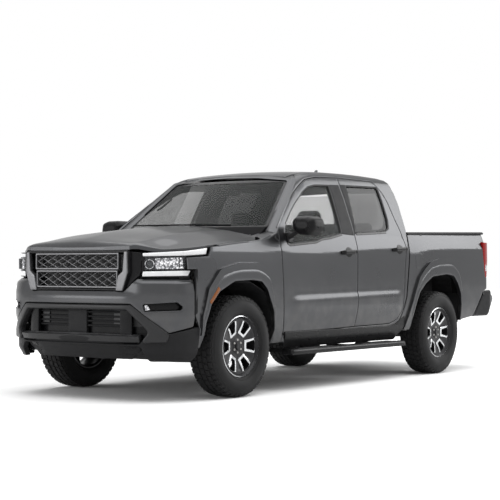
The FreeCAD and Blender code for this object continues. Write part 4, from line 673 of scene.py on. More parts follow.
def red_lens():
    """Deep red lens with a fine ribbed back."""
    f = Finish("red_lens", Coat_Weight=0.03, Coat_Roughness=0.05, Specular_IOR_Level=0.06)
    rib = f.wave("Z", 40)
    f.set(Base_Color=f.mix(rib, (0.16, 0.003, 0.003), (0.30, 0.006, 0.006)),
          Roughness=f.span(rib, 0, 1, 0.12, 0.22))
    return f.bump(rib, 0.0002, 0.3)


def amber_lens():
    """Dark orange lens of the side marker."""
    f = Finish("amber_lens", Coat_Weight=0.1, Coat_Roughness=0.05, Specular_IOR_Level=0.2)
    cells = f.cells(420)
    f.set(Base_Color=f.mix(cells, (0.20, 0.055, 0.006), (0.28, 0.085, 0.01)),
          Roughness=f.span(cells, 0, 1, 0.2, 0.3))
    return f.bump(cells, 0.0002, 0.3)


def seat_cloth():
    """Dark woven seat cloth."""
    f = Finish("seat_cloth", Sheen_Weight=0.25, Sheen_Roughness=0.5)
    weave = f.wave("X", 160, 1.0) * f.wave("Z", 160, 1.0)
    f.set(Base_Color=f.mix(weave, (0.018, 0.018, 0.02), (0.05, 0.05, 0.054)),
          Roughness=f.span(f.noise(12, 3.0), 0.3, 0.7, 0.82, 0.95))
    return f.bump(weave, 0.0006, 0.7)


def radiator_fins():
    """Thin upright fins of the radiator, with painted shade in the dark bands between them."""
    f = Finish("radiator_fins", Metallic=0.8)
    # The wave paints light fins and dark bands of painted shade between them, and also gives the fins' bump.
    rib = f.wave("X", 120)
    f.set(Base_Color=f.mix(rib, (0.02, 0.02, 0.02), (0.14, 0.14, 0.14)),
          Roughness=f.span(f.noise(30, 2.0), 0.3, 0.7, 0.5, 0.65))
    return f.bump(rib, 0.001, 0.6)


WARM_STEEL = (0.42, 0.41, 0.4)
# Clouded finishes: tones, roughness from and to, cloud's scale and detail, bump's scale, detail, depth and
# strength. Grained ones: colour, roughness, grain, depth, gloss. Glass: tint and how much it hides.
RECIPES = {
    "paint": (body_paint,),
    "gloss_black": (clouded, "gloss_black", ((0.005, 0.005, 0.006), (0.011, 0.011, 0.012)), (0.2, 0.3),
                    (14, 3), (260, 2, 0.00003, 0.2),
                    {"Coat_Weight": 0.03, "Coat_Roughness": 0.06, "Specular_IOR_Level": 0.12}),
    "satin_bar": (clouded, "satin_bar", ((0.12, 0.12, 0.125), (0.17, 0.17, 0.175)), (0.34, 0.46), (30, 3),
                  (700, 2, 0.00003, 0.3), {"Metallic": 0.85}),
    "lattice_metal": (clouded, "lattice_metal", ((0.34, 0.34, 0.35), (0.46, 0.46, 0.47)), (0.34, 0.46),
                      (30, 3), (700, 2, 0.00003, 0.3), {"Metallic": 0.8}),
    "bumper_metal": (clouded, "bumper_metal", ((0.05, 0.05, 0.053), (0.08, 0.08, 0.084)), (0.38, 0.5),
                     (16, 3), (500, 2, 0.00006, 0.4),
                     {"Metallic": 0.6, "Coat_Weight": 0.3, "Coat_Roughness": 0.25}),
    "tyre_rubber": (clouded, "tyre_rubber", ((0.01, 0.01, 0.0105), (0.019, 0.019, 0.0195)), (0.62, 0.78),
                    (8, 4), (420, 3, 0.0003, 0.6), {"Specular_IOR_Level": 0.2}),
    "rim_dark": (clouded, "rim_dark", ((0.012, 0.012, 0.013), (0.022, 0.022, 0.024)), (0.3, 0.42), (24, 3),
                 (900, 2, 0.00003, 0.3),
                 {"Metallic": 0.4, "Coat_Weight": 0.1, "Coat_Roughness": 0.1, "Specular_IOR_Level": 0.2}),
    "rim_bright": (clouded, "rim_bright", ((0.44, 0.45, 0.46), (0.6, 0.61, 0.62)), (0.2, 0.32), (30, 3),
                   (1400, 2, 0.00003, 0.5), {"Metallic": 1.0, "Coat_Weight": 0.5, "Coat_Roughness": 0.08}),
    "cast_metal": (clouded, "cast_metal", ((0.12, 0.115, 0.11), (0.3, 0.29, 0.28)), (0.5, 0.7), (40, 4),
                   (260, 4, 0.0005, 0.6), {"Metallic": 0.8}),
    "brake_steel": (clouded, "brake_steel", ((0.2, 0.19, 0.18), WARM_STEEL), (0.34, 0.5), (60, 3),
                    (900, 2, 0.0001, 0.5), {"Metallic": 1.0}),
    "exhaust_metal": (clouded, "exhaust_metal", ((0.2, 0.17, 0.14), WARM_STEEL), (0.4, 0.65), (12, 5),
                      (200, 3, 0.0003, 0.5), {"Metallic": 0.9}),
    "rubber": (clouded, "seal_rubber", ((0.008, 0.008, 0.008), (0.018, 0.018, 0.018)), (0.6, 0.75), (40, 3),
               (500, 2, 0.0001, 0.4), {"Specular_IOR_Level": 0.3}),
    "mirror_face": (clouded, "mirror_face", ((0.8, 0.81, 0.82), (0.9, 0.9, 0.91)), (0.02, 0.05), (8, 2),
                    None, {"Metallic": 1.0}),
    "dark_plastic": (moulded, "dark_plastic", 1, 0.55, 900, 0.00025, 0.12),
    "satin_plastic": (moulded, "satin_plastic", 1.25, 0.36, 1500, 0.00008),
    "trim": (grained, "cabin_plastic", (0.03, 0.03, 0.032), 0.6, 1200, 0.0003),
    "post_black": (grained, "post_black", (0.016, 0.016, 0.017), 0.5, 600, 0.00004, 0.06),
    "mirror_black": (grained, "mirror_black", (0.010, 0.010, 0.0105), 0.32, 700, 0.00003, 0.1),
    "cowl_black": (grained, "cowl_black", (0.012, 0.012, 0.0125), 0.85, 900, 0.00025, 0.02),
    "bed_liner": (grained, "bed_liner", (0.022, 0.022, 0.023), 0.8, 300, 0.0012),
    "side_glass": (glassy, "side_glass", (0.05, 0.056, 0.054), 0.2),
    "dark_glass": (glassy, "dark_glass", (0.014, 0.015, 0.016), 0.7),
    "windshield_glass": (glassy, "windshield_glass", (0.012, 0.014, 0.0135), 0.45),
    "lens": (glassy, "lamp_lens", (0.5, 0.52, 0.54), 0.12),
    "chassis": (chassis_paint,),
    "lamp_bright": (lamp_reflector,),
    "lamp_strip": (lamp_strip,),
    "red_lens": (red_lens,),
    "amber": (amber_lens,),
    "seat_cloth": (seat_cloth,),
    "radiator_metal": (radiator_fins,),
}
# Materials made so far, by finish name
FINISHES = {}


def finish_named(name):
    """The material of a finish, made the first time that it is asked for."""
    if name not in FINISHES:
        make, *values = RECIPES[name]
        FINISHES[name] = make(*values).material
    return FINISHES[name]


# Shape of the body: half width over height, with the crease, wheel arch flares and door swage

SIDE_LINE = smooth(
    (SILL, HALF - 45), (SILL + 70, HALF - 23), (SILL + 160, HALF - 10), (SILL + 300, HALF - 2),
    (SILL + 450, HALF), (SILL + 600, HALF - 3), (BELT - 170, HALF - 8), (BELT - 110, HALF - 22),
    (BELT - 50, HALF - 35), (BELT, HALF - 47), (BELT + 50, HALF - 62), (BELT + 110, HALF - 85),
    (BELT + 210, HALF - 127), (BELT + 310, HALF - 169), (BELT + 410, HALF - 217), (RAIL - 10, HALF - 262),
    (RAIL + 40, HALF - 310),
)
CREASE = smooth((-2405, 1120), (-1520, 1121), (-1198, 1136), (-1020, 1122), (-725, 1122), (-47, 1155),
                (392, 1177), (831, 1190), (921, 1135), (993, 1140), (1100, 1155), (1362, 1180), (2412, 1200),
                (2500, 1200))
CREASE_X = HALF - 7.5
DRAWN_FROM = 1000
FLARE_DEPTH = 22
SWAGE_DEPTH = 17
BED_RAIL = smooth((921, 1332), (2500, 1371))
DRAW = smooth((-2405, -36), (-2205, -8), (-2045, 0), (-1194, 0), (1475, 0), (2460, -6), (2500, -22))

FRONT_LIP = [(-2208, 400), (-2193, 584, 60), (-2140, 724, 60), (-2047, 818, 80), (-1859, 896, 120),
             (-1625, 904, 120), (-1500, 892, 70), (-1425, 833, 70), (-1327, 653, 80), (-1307, 513),
             (-1313, 400)]
FRONT_FLARE = [(-2225, 400), (-2225, 643), (-2165, 843, 60), (-2031, 985, 80), (-1781, 1035, 160),
               (-1525, 1035, 160), (-1356, 960, 60), (-1295, 787), (-1290, 400)]
REAR_LIP = [(879, 430), (923, 565), (973, 681, 80), (1039, 785, 80), (1146, 863, 100), (1285, 928, 120),
            (1568, 950, 120), (1715, 935, 70), (1800, 859, 70), (1863, 763, 80), (1880, 652), (1875, 522)]
REAR_FLARE = [(830, 433), (969, 806), (1037, 917, 60), (1134, 995, 60), (1248, 1061, 80), (1418, 1095, 120),
              (1705, 1095, 100), (1859, 1013, 60), (1905, 893), (1905, 430)]


def polar(line, centre):
    """Distance from a centre to a line, as a function of the angle from straight down at the rear."""
    loop = rounded(line + [(centre[0], 250)])
    angle = np.arctan2(loop[:, 1] - centre[1], loop[:, 0] - centre[0]) % (2 * math.pi)
    angle = np.where(angle > 1.5 * math.pi, angle - 2 * math.pi, angle)
    reach = np.hypot(loop[:, 0] - centre[0], loop[:, 1] - centre[1])
    order = np.argsort(angle)
    return lambda a: np.interp(a, angle[order], reach[order])


class Arch:
    """A wheel arch's lip and the outer edge of its flare."""

    def __init__(self, lip, flare, axle):
        self.centre = (axle, AXLE_Z + 60)
        self.lip = polar(lip, self.centre)
        self.flare = polar(flare, self.centre)

    def bulge(self, y, z):
        """How far the flare stands out: full at the lip, then a shoulder that runs back to the body."""
        dy, dz = y - self.centre[0], z - self.centre[1]
        angle = np.arctan2(dz, dy) % (2 * math.pi)
        angle = np.where(angle > 1.5 * math.pi, angle - 2 * math.pi, angle)
        reach = np.hypot(dy, dz)
        inner, outer = self.lip(angle), self.flare(angle)
        share = (reach - inner) / np.maximum(outer - inner, 20)
        near = (reach < outer + 200) & (reach > inner - 200)
        shape = FLARE_DEPTH * (1 - ease(0.5, 1.0, share)) + 1.5 * np.sin(np.clip(share, 0, 1) * math.pi)
        low = ease(SILL + 10, SILL + 130, z)
        return np.where(near, shape * (0.45 + 0.55 * low), 0)


FRONT_ARCH = Arch(FRONT_LIP, FRONT_FLARE, FRONT_AXLE)
REAR_ARCH = Arch(REAR_LIP, REAR_FLARE, REAR_AXLE)


def side_x(y, z):
    """Half width of the body at a station and a height."""
    crease = CREASE(y)
    share = np.clip((z - DRAWN_FROM) / np.maximum(crease - DRAWN_FROM, 1), 0, 1)
    start_x = SIDE_LINE(DRAWN_FROM)
    lower = np.where(z < DRAWN_FROM, SIDE_LINE(z), start_x + (CREASE_X - start_x) * share ** 1.5)
    bed = y > (CAB_REAR + BED_FRONT) / 2
    top = np.where(bed, BED_RAIL(y), BELT)
    top_x = SIDE_LINE(top)
    rise = np.clip((z - crease) / (top - crease), 0, 1)
    upper = CREASE_X + (top_x - CREASE_X) * (rise * 0.86 + rise ** 2 * 0.14)
    x = np.where(z < crease, lower, np.where(z < top, upper, SIDE_LINE(z)))
    fore = np.where((y < DOOR_FRONT + 10) & (z < 1300), FRONT_ARCH.bulge(y, z), 0)
    aft = np.where(y > CAB_REAR, REAR_ARCH.bulge(y, z), 0)
    run = ease(-1120, -940, y) * (1 - ease(640, 800, y))
    swage = SWAGE_DEPTH * run * (1 - ease(740, 808, z + (y + 100) * -0.02)) * ease(470, 700, z)
    return x + DRAW(y) + fore + aft + swage


def side(uv):
    """Side of the body over (station, height)."""
    y, z = uv.T
    return np.column_stack([side_x(y, z), y, z])


# Top of the nose
NOSE_Y = [-2600, -2560, -2400, -2100, -1800, -1450, -1185]
NOSE_MIDDLE = smooth(*zip(NOSE_Y, (1150, 1190, 1238, 1290, 1322, 1342, 1350)))
NOSE_CREST = smooth(*zip(NOSE_Y, (1152, 1174, 1200, 1250, 1276, 1296, 1312)))
NOSE_SHOULDER = smooth(*zip(NOSE_Y, (1106, 1116, 1140, 1196, 1232, 1256, 1302)))
NOSE_EDGE = smooth(*zip(NOSE_Y, (1085, 1092, 1104, 1152, 1183, 1208, 1288)))


def across(xs, heights, x):
    """Smooth line over half the width through heights that change along the truck."""
    result = np.zeros_like(x)
    slopes = [np.zeros_like(x)]
    for i in range(1, len(xs) - 1):
        before = (heights[i] - heights[i - 1]) / (xs[i] - xs[i - 1])
        after = (heights[i + 1] - heights[i]) / (xs[i + 1] - xs[i])
        slopes.append((before + after) / 2)
    slopes.append((heights[-1] - heights[-2]) / (xs[-1] - xs[-2]))
    for i in range(len(xs) - 1):
        span = xs[i + 1] - xs[i]
        t = (x - xs[i]) / span
        inside = (x >= xs[i]) & (x <= xs[i + 1]) if i < len(xs) - 2 else x >= xs[i]
        value = ((1 + 2 * t) * (1 - t) ** 2 * heights[i] + t * (1 - t) ** 2 * span * slopes[i]
                 + t * t * (3 - 2 * t) * heights[i + 1] + t * t * (t - 1) * span * slopes[i + 1])
        result = np.where(inside, value, result)
    return result


def nose_z(x, y):
    """Height of the hood and the fenders' tops, with soft creases."""
    x = np.abs(x)
    middle, crest = NOSE_MIDDLE(y), NOSE_CREST(y)
    heights = [middle, middle * 0.6 + crest * 0.4, crest, NOSE_SHOULDER(y), NOSE_EDGE(y)]
    xs = [0, 260, 520, 692, 917]
    creased = heights[0] + 0 * x
    for i in range(4):
        share = np.clip((x - xs[i]) / (xs[i + 1] - xs[i]), 0, 1)
        creased = np.where(x > xs[i], heights[i] + (heights[i + 1] - heights[i]) * share, creased)
    return 0.35 * across(xs, heights, x) + 0.65 * creased


def nose_top(uv):
    x, y = uv.T
    return np.column_stack([x, y, nose_z(x, y)])


# Roof: rail height and crown along the truck
ROOF_Y = [-667, -520, -352, -68, 352, 765, 981]
ROOF_EDGE = smooth(*zip(ROOF_Y, (1710, 1775, 1803, 1820, 1826, 1818, 1795)))
ROOF_CROWN = smooth(*zip(ROOF_Y, (1790, 1826, 1848, 1863, 1868, 1862, 1844)))


def roof_z(x, y):
    """Height of the roof, which falls faster towards its lip."""
    edge, crown = ROOF_EDGE(y), ROOF_CROWN(y)
    edge_x = SIDE_LINE(edge)
    x = np.abs(x)
    drop = crown - edge
    near = crown - drop * 0.16 * (x / (0.55 * edge_x)) ** 2
    s = np.clip((x - 0.55 * edge_x) / (0.45 * edge_x - 28), 0, 1)
    middle = edge + drop * 0.84
    outer = middle - drop * 0.39 * (0.62 * s + 0.38 * s ** 3)
    last = np.clip((x - (edge_x - 28)) / 28, 0, 1.5)
    lip = edge + drop * 0.45 * (1 - last)
    return np.where(x < 0.55 * edge_x, near, np.where(x < edge_x - 28, outer, lip))


def roof_top(uv):
    x, y = uv.T
    return np.column_stack([x, y, roof_z(x, y)])


# Front of the truck: distance behind the nose along the line that the bumper follows in plan
NOSE_PLAN = [(0, 5), (150, 8), (300, 18), (420, 31), (520, 50), (640, 96), (740, 158), (815, 228), (862, 308),
             (887, 392), (899, 470), (904, 560), (905, 700)]


def plan_line():
    """Smooth nose line in plan, as arc lengths with their x and y."""
    line = through([(-x, d) for x, d in NOSE_PLAN[:0:-1]] + [(x, d) for x, d in NOSE_PLAN], 10)
    middle = len(line) // 2
    half = line[middle:]
    arc = np.concatenate([[0], np.cumsum(np.hypot(*np.diff(half, axis=0).T))])
    return arc, half[:, 0], half[:, 1]


PLAN_ARC, PLAN_X, PLAN_D = plan_line()


def arc_of_x(x):
    """Arc length along the nose line at a distance from the middle."""
    return np.sign(x) * np.interp(np.abs(x), PLAN_X, PLAN_ARC)


def arc_of_y(y):
    """Arc length along the nose line at a station, on the truck's left side."""
    return float(np.interp(y - NOSE, PLAN_D, PLAN_ARC))


def front_wall(back, form=None):
    """Surface over (arc length, height) that lies back from the nose line; form adds a shape of its own."""
    def surface(uv):
        s, z = uv.T
        a = np.abs(s)
        step = 2.0
        x, d = np.interp(a, PLAN_ARC, PLAN_X), np.interp(a, PLAN_ARC, PLAN_D)
        tx = np.interp(a + step, PLAN_ARC, PLAN_X) - np.interp(a - step, PLAN_ARC, PLAN_X)
        td = np.interp(a + step, PLAN_ARC, PLAN_D) - np.interp(a - step, PLAN_ARC, PLAN_D)
        tx = np.where(a < step, 2 * step, tx)
        td = np.where(a < step, 0, td)
        length = np.hypot(tx, td)
        depth = back + (form(s, z) if form else 0)
        px = x - depth * td / length
        py = d + depth * tx / length
        return np.column_stack([px * np.where(s < 0, -1, 1), NOSE + py, z])
    return surface


def flat_front(y, form=None):
    """Surface over (x, z) that faces the nose."""
    def surface(uv):
        x, z = uv.T
        return np.column_stack([x, y + (form(x, z) if form else 0 * x), z])
    return surface


def flat_side(x, form=None):
    """Surface over (station, height) that faces the truck's left."""
    def surface(uv):
        y, z = uv.T
        return np.column_stack([x + (form(y, z) if form else 0 * y), y, z])
    return surface


def flat_top(z, form=None):
    """Surface over (x, station) that faces up."""
    def surface(uv):
        x, y = uv.T
        return np.column_stack([x, y, z + (form(x, y) if form else 0 * x)])
    return surface


# Outlines of the panels

FRONT_DOOR = [
    (DOOR_FRONT + 40, SILL + 66, 12), (DOOR_FRONT + 14, BELT - 367), (DOOR_FRONT, BELT - 165),
    (DOOR_FRONT - 10, BELT - 90), (DOOR_FRONT + 14, BELT + 36), (DOOR_FRONT + 102, BELT + 109),
    (DOOR_FRONT + 250, BELT + 217), (DOOR_FRONT + 404, BELT + 328), (DOOR_FRONT + 520, RAIL - 119, 60),
    (DOOR_FRONT + 667, RAIL - 50, 120), (DOOR_FRONT + 835, RAIL - 22, 200), (PILLAR + 77, RAIL - 2),
    (PILLAR + 23, BELT - 12), (PILLAR + 14, BELT - 202), (PILLAR, BELT - 482, 400),
    (PILLAR - 23, SILL + 98, 8),
]
REAR_DOOR = [
    (PILLAR - 23 + GAP, SILL + 98, 8), (PILLAR + GAP, BELT - 482, 400), (PILLAR + 14 + GAP, BELT - 202),
    (PILLAR + 23 + GAP, BELT - 12), (PILLAR + 77 + GAP, RAIL - 2), (DOOR_REAR - 193, RAIL - 4, 60),
    (DOOR_REAR - 98, RAIL - 100, 60), (DOOR_REAR - 68, BELT + 320), (DOOR_REAR - 49, BELT + 159),
    (DOOR_REAR - 18, BELT + 40), (DOOR_REAR, BELT - 100, 40), (DOOR_REAR - 33, BELT - 294, 60),
    (DOOR_REAR - 46, BELT - 461, 60), (DOOR_REAR - 70, SILL + 246, 66), (DOOR_REAR - 180, SILL + 140, 56),
    (DOOR_REAR - 300, SILL + 106, 56),
]
FRONT_WINDOW = [
    (DOOR_FRONT + 94, BELT - 85, 10), (DOOR_FRONT + 99, BELT + 8), (DOOR_FRONT + 140, BELT + 79),
    (DOOR_FRONT + 268, BELT + 178), (DOOR_FRONT + 386, BELT + 255), (DOOR_FRONT + 571, RAIL - 149, 60),
    (DOOR_FRONT + 674, RAIL - 106, 80), (DOOR_FRONT + 795, RAIL - 83, 200), (PILLAR - 107, RAIL - 74, 14),
    (PILLAR - 175, BELT + 7, 8), (PILLAR - 376, BELT - 28, 60), (PILLAR - 513, BELT - 43, 60),
    (PILLAR - 609, BELT - 69, 60), (DOOR_FRONT + 138, BELT - 100, 10),
]
REAR_WINDOW = [
    (PILLAR + 57, BELT + 13, 10), (PILLAR + 180, RAIL - 61, 10), (DOOR_REAR - 155, RAIL - 48, 20),
    (DOOR_REAR - 138, RAIL - 80, 20), (DOOR_REAR - 173, BELT + 154, 30), (DOOR_REAR - 215, BELT + 70, 40),
    (DOOR_REAR - 290, BELT + 42, 40),
]
FENDER = [
    (DOOR_FRONT + 40 - GAP, SILL + 2), (DOOR_FRONT + 14 - GAP, BELT - 367), (DOOR_FRONT - GAP, BELT - 165),
    (DOOR_FRONT - 10 - GAP, BELT - 90), (DOOR_FRONT - 19, BELT - 76), (DOOR_FRONT - 65, BELT - 52),
    (DOOR_FRONT - 66, BELT - 28), (DOOR_FRONT - 153, BELT - 56), (DOOR_FRONT - 263, BELT - 75),
    (FRONT_AXLE + 235, BELT - 84, 300), (FRONT_AXLE - 43, BELT - 106, 300), (FRONT_AXLE - 370, BELT - 138, 8),
    (FRONT_AXLE - 415, BELT - 208, 8), (FRONT_AXLE - 635, BELT - 222, 6), (FRONT_AXLE - 630, BELT - 305, 6),
    (FRONT_AXLE - 558, BELT - 305), (FRONT_AXLE - 558, SILL + 240, 20), (FRONT_AXLE - 505, SILL + 140, 20),
    (FRONT_AXLE - 505, SILL + 2),
] + FRONT_LIP
CAB_BACK = [
    (CAB_REAR - 238, SILL + 85), (CAB_REAR - 177, SILL + 147, 60), (CAB_REAR - 111, SILL + 242, 60),
    (CAB_REAR - 66, SILL + 338), (CAB_REAR - 55, SILL + 435), (CAB_REAR - 25, SILL + 596),
    (CAB_REAR, BELT - 132), (CAB_REAR + 20, BELT + 12), (CAB_REAR + 36, BELT + 55),
]
BED_SIDE = CAB_BACK[:-1] + [
    (BED_FRONT + 12, BED_TOP - 16, 6), (GATE_REAR - 4, BED_TOP + 17, 6), (GATE_REAR - 10, 1273),
    (GATE_REAR - 96, 1273, 4), (GATE_REAR - 79, 1029), (GATE_REAR - 59, 919, 4), (GATE_REAR - 16, 919),
    (GATE_REAR - 16, 808, 8), (GATE_REAR - 110, 776, 20), (GATE_REAR - 318, 534, 20), (REAR_AXLE + 399, 500),
] + REAR_LIP[::-1] + [(842, 430), (700, 470)]
HOOD_HALF = [
    (0, -2603), (512, -2597, 20), (590, -2547, 60), (720, -2440, 100), (800, -2300, 100),
    (HALF - 57, -2155, 100), (HALF - 43, -2015, 100), (HALF - 50, -1705), (HALF - 56, -1490, 60),
    (HALF - 127, -1395, 40), (520, -1402, 100), (0, -1382),
]

FENDER_TOP = [
    (871, -2015), (864, -1705), (858, -1484, 30), (851, -1420, 20), (800, -1390, 20), (738, -1390, 10),
    (738, -1262, 10), (800, -1194), (862, -1190), (874, -1206), (874, -1490), (890, -1768), (896, -2015),
]


def both_sides(half):
    """Closed outline from its half at x of 0 and above."""
    return list(half) + [(-p[0], *p[1:]) for p in half[::-1] if p[0] > 0]


def crease_seam(start, end):
    ys = np.arange(start, end, 14.0)
    return np.column_stack([ys, CREASE(ys)])


# Glass shapes
WINDSHIELD_BASE = (1300, 760, -1205, -1335)
WINDSHIELD_HEAD = (1760, 600, -650, -745)


def windshield_y(x, z, back=0):
    """Station of the windshield's outer surface."""
    share = (z - WINDSHIELD_BASE[0]) / (WINDSHIELD_HEAD[0] - WINDSHIELD_BASE[0])
    half, corner, middle = (low + (high - low) * share
                            for low, high in zip(WINDSHIELD_BASE[1:], WINDSHIELD_HEAD[1:]))
    return middle + (corner - middle) * (x / half) ** 2 * 0.98 + back


def windshield_surface(back):
    def surface(uv):
        x, z = uv.T
        return np.column_stack([x, windshield_y(x, z, back), z])
    return surface


CAB_BACK_Y = smooth((1100, 868), (1158, 881), (1302, 901), (1358, 918), (1584, 950), (1700, 955), (1780, 938),
                    (1835, 905))


def cab_back(set_in=0):
    def surface(uv):
        x, z = uv.T
        return np.column_stack([x, CAB_BACK_Y(z) - 26 * (np.abs(x) / 700) ** 3 - set_in, z])
    return surface


def cab_frame(uv):
    """Side of the cab over (station, height), carried on over the rail towards the roof ditch."""
    y, t = uv.T
    edge = ROOF_EDGE(y)
    edge_x = SIDE_LINE(edge)
    over = np.maximum(t - edge, 0)
    x_over = edge_x - over * 0.8
    low = side_x(y, np.minimum(t, edge))
    x = np.where(over > 0, x_over, low)
    z = np.where(over > 0, roof_z(x_over, y), t)
    return np.column_stack([x, y, z])


def splice(outline, start, end):
    """The part of an outline between the points nearest to two places, in its own direction."""
    a = int(np.argmin(((outline - start) ** 2).sum(1)))
    b = int(np.argmin(((outline - end) ** 2).sum(1)))
    return np.roll(outline, -a, 0)[:(b - a) % len(outline) + 1]


BOTH_DOORS = FRONT_DOOR[:11] + [(PILLAR + 77, RAIL - 2)] + REAR_DOOR[5:] + [(PILLAR - 20, SILL + 98, 8)]


def cab_side_outline():
    opening = inset(rounded(BOTH_DOORS), -GAP)
    inner = splice(opening, (-1152, 459), (-1203, 1212))
    outer = [
        (-1250, 1240, 10), (-1196, 1300, 30), (-645, 1752, 60), (-560, 1858, 30), (900, 1858, 20),
        (930, 1796, 20), (955, 1700, 60), (950, 1584, 60), (918, 1358, 30), (901, 1302), (881, 1158),
        (856, 996), (826, 835), (815, 738), (770, 642, 60), (704, 547, 60), (645, 490, 20), (640, 402, 6),
        (-1152, 402, 6),
    ]
    return outer + [tuple(p) for p in inner]


def window_seal(window):
    """Rubber frame that follows a window's edge."""
    outer, inner = (inset(rounded(window), by) for by in (-0.5, 11))
    return inlay(side, outer, -2.5, 2.5, 13, holes=[inner])


def belt_strip(window, top):
    """Black strip below a window, along the part of its edge that is lower than a height."""
    edge = rounded(window)
    line = [p for p in edge if p[1] < top]
    path = splice(edge, min(line, key=lambda p: p[0]), max(line, key=lambda p: p[0]))
    strip = [tuple(p) for p in path - [0, 17]] + [tuple(p) for p in path[::-1] + [0, 1.5]]
    return inlay(side, strip, 4, 2, 4, step=16)


def panel_pieces():
    for name, edge, holes, start, end, depth, body in (
            ("front_door_skin", FRONT_DOOR, [FRONT_WINDOW], -1180, -60, 13, "front_{}_door"),
            ("rear_door_skin", REAR_DOOR, [REAR_WINDOW], -30, 800, 13, "rear_{}_door"),
            ("fender_skin", FENDER, [], -2080, -1200, 11, "truck"),
            ("bed_side_skin", BED_SIDE, [], 940, 2420, 11, "truck")):
        panel = skin(side, edge, holes, seams=[crease_seam(start, end)], roll=4, depth=depth)
        put_both("{}_" + name, panel, body, "paint")
    put_both("{}_cab_side_skin", skin(cab_frame, cab_side_outline(), roll=4, grid=14), "truck", "paint")
    front_post = [(PILLAR - 171, BELT + 2, 4), (PILLAR - 103, RAIL - 72, 6), (PILLAR + 58, RAIL - 66, 6),
                  (PILLAR + 16, BELT - 6, 6)]
    rear_post = [(PILLAR + 36, BELT + 4, 6), (PILLAR + 80, RAIL - 64, 6), (PILLAR + 176, RAIL - 58, 6),
                 (PILLAR + 53, BELT + 8, 6)]
    for door, window, post, belt in (("front", FRONT_WINDOW, front_post, BELT + 12),
                                     ("rear", REAR_WINDOW, rear_post, BELT + 46)):
        body = door + "_{}_door"
        put_both(f"{{}}_{door}_door_post", inlay(side, post, 2.6, 1.4, 2), body, "post_black")
        put_both(f"{{}}_{door}_window_seal", window_seal(window), body, "rubber")
        put_both(f"{{}}_{door}_belt_strip", belt_strip(window, belt), body, "gloss_black")
    creases = [[(x, y) for y in np.arange(-2590, -1400, 18.0)] for x in (-520.5, 520.5)]
    hood = skin(nose_top, both_sides(HOOD_HALF), roll=6, depth=16, grid=18, seams=creases)
    put("hood_skin", hood, "hood", "paint")
    put_both("{}_fender_top", skin(nose_top, FENDER_TOP, roll=3, depth=8, lift=0.8), "truck", "paint")
    put_both("{}_front_post", front_post_stock(), "truck", "paint")
    roof_edge = [(-547, -627), (547, -627), (572, -487, 60), (572, 881, 40), (-572, 881, 40),
                 (-572, -487, 60)]
    put("roof_skin", skin(roof_top, roof_edge, roll=5, depth=14, grid=20, grow=-2), "truck", "paint")
    ditch = [(573, -560), (582, -560), (586, 0), (586, 870), (573, 870)]
    put_both("{}_roof_strip", inlay(roof_top, ditch, 1.5, 2, 4), "truck", "rubber")


def front_post_stock():
    """Skin of the post between the windshield's edge and the side of the cab."""
    foot, head = (-1196, 1300), (-645, 1752)
    rows = []
    for share in np.linspace(-0.02, 1.03, 40):
        y, z = (foot[i] + (head[i] - foot[i]) * share for i in (0, 1))
        screen_x = 752 - 150 * share
        inner = np.array([screen_x, float(windshield_y(screen_x, z, 12)), z])
        outer = np.array([float(side_x(y, z)) + 1.5, y + 2, z])
        first = inner + [(outer[0] - inner[0]) * 0.55, -22, 6]
        second = outer + [0, -26, -20]
        t = np.linspace(0, 1, 12)[:, None]
        near = (1 - t) ** 3 * inner + 3 * t * (1 - t) ** 2 * first
        rows.append(near + 3 * t * t * (1 - t) * second + t ** 3 * outer)
    count = len(rows[0])
    faces = [(i * count + k, i * count + k + 1, (i + 1) * count + k + 1, (i + 1) * count + k)
             for i in range(len(rows) - 1) for k in range(count - 1)]
    return Stock().add(np.vstack(rows), faces)


def pane(surface, edge, **options):
    """A sheet of glass with slightly rounded edges."""
    return skin(surface, edge, roll=0.6, grow=0, closed=True, **options)


def glass_pieces():
    for door, window, glass in (("front", FRONT_WINDOW, "side_glass"), ("rear", REAR_WINDOW, "dark_glass")):
        put_both(door + "_{}_pane", pane(side, inset(rounded(window), -1), lift=-13.5, depth=4, grid=22),
                 door + "_{}_door", glass, replaces=[door + "_{}_window"])
    screen = [(-745, 1316, 30), (745, 1316, 30), (595, 1748, 40), (-595, 1748, 40)]
    front = pane(windshield_surface(17), screen, lift=0, depth=4.4, grid=30)
    put("windshield", front, "truck", "windshield_glass", replaces=["cab_glass"])
    border = inlay(windshield_surface(16), screen, 0.2, 0.2, 0.4, holes=[inset(rounded(screen), 24)])
    put("windshield_border", border, "truck", "gloss_black")
    back = [(-560, 1400, 40), (560, 1400, 40), (510, 1700, 50), (-510, 1700, 50)]
    rear = pane(cab_back(22), back, out=-1, lift=0, depth=4.4, grid=30)
    put("back_window", rear, "truck", "side_glass")


# Wheels

RIM = 233
SPOKES = 6


def rim_face(uv):
    """Outer face of the wheel over (station, height) about its middle: dished, with a raised middle."""
    y, z = uv.T
    r = np.hypot(y, z)
    angle = np.arctan2(z, y)
    wave = np.cos(SPOKES * (angle - math.pi / 2))
    x = 66 + 22 * ease(70, 205, r)
    x += 8 * (1 - ease(44, 62, r))
    x -= 5 * ease(60, 110, r) * (1 - ease(170, 205, r)) * ease(0.2, 1.0, wave)
    return np.column_stack([x, y, z])


def window_outline(grow=0):
    """U-shaped window of the wheel, pointing up."""
    return [
        (-24 - grow, 112 - grow, 10), (24 + grow, 112 - grow, 10), (30 + grow, 140, 30),
        (44 + grow, 196 + grow, 10), (22, 201 + grow, 30), (0, 203 + grow, 60), (-22, 201 + grow, 30),
        (-44 - grow, 196 + grow, 10), (-30 - grow, 140, 30),
    ]


def spun_outline(outline, angle):
    loop = rounded(outline, 6)
    c, s = math.cos(angle), math.sin(angle)
    return np.column_stack([loop[:, 0] * c - loop[:, 1] * s, loop[:, 0] * s + loop[:, 1] * c])


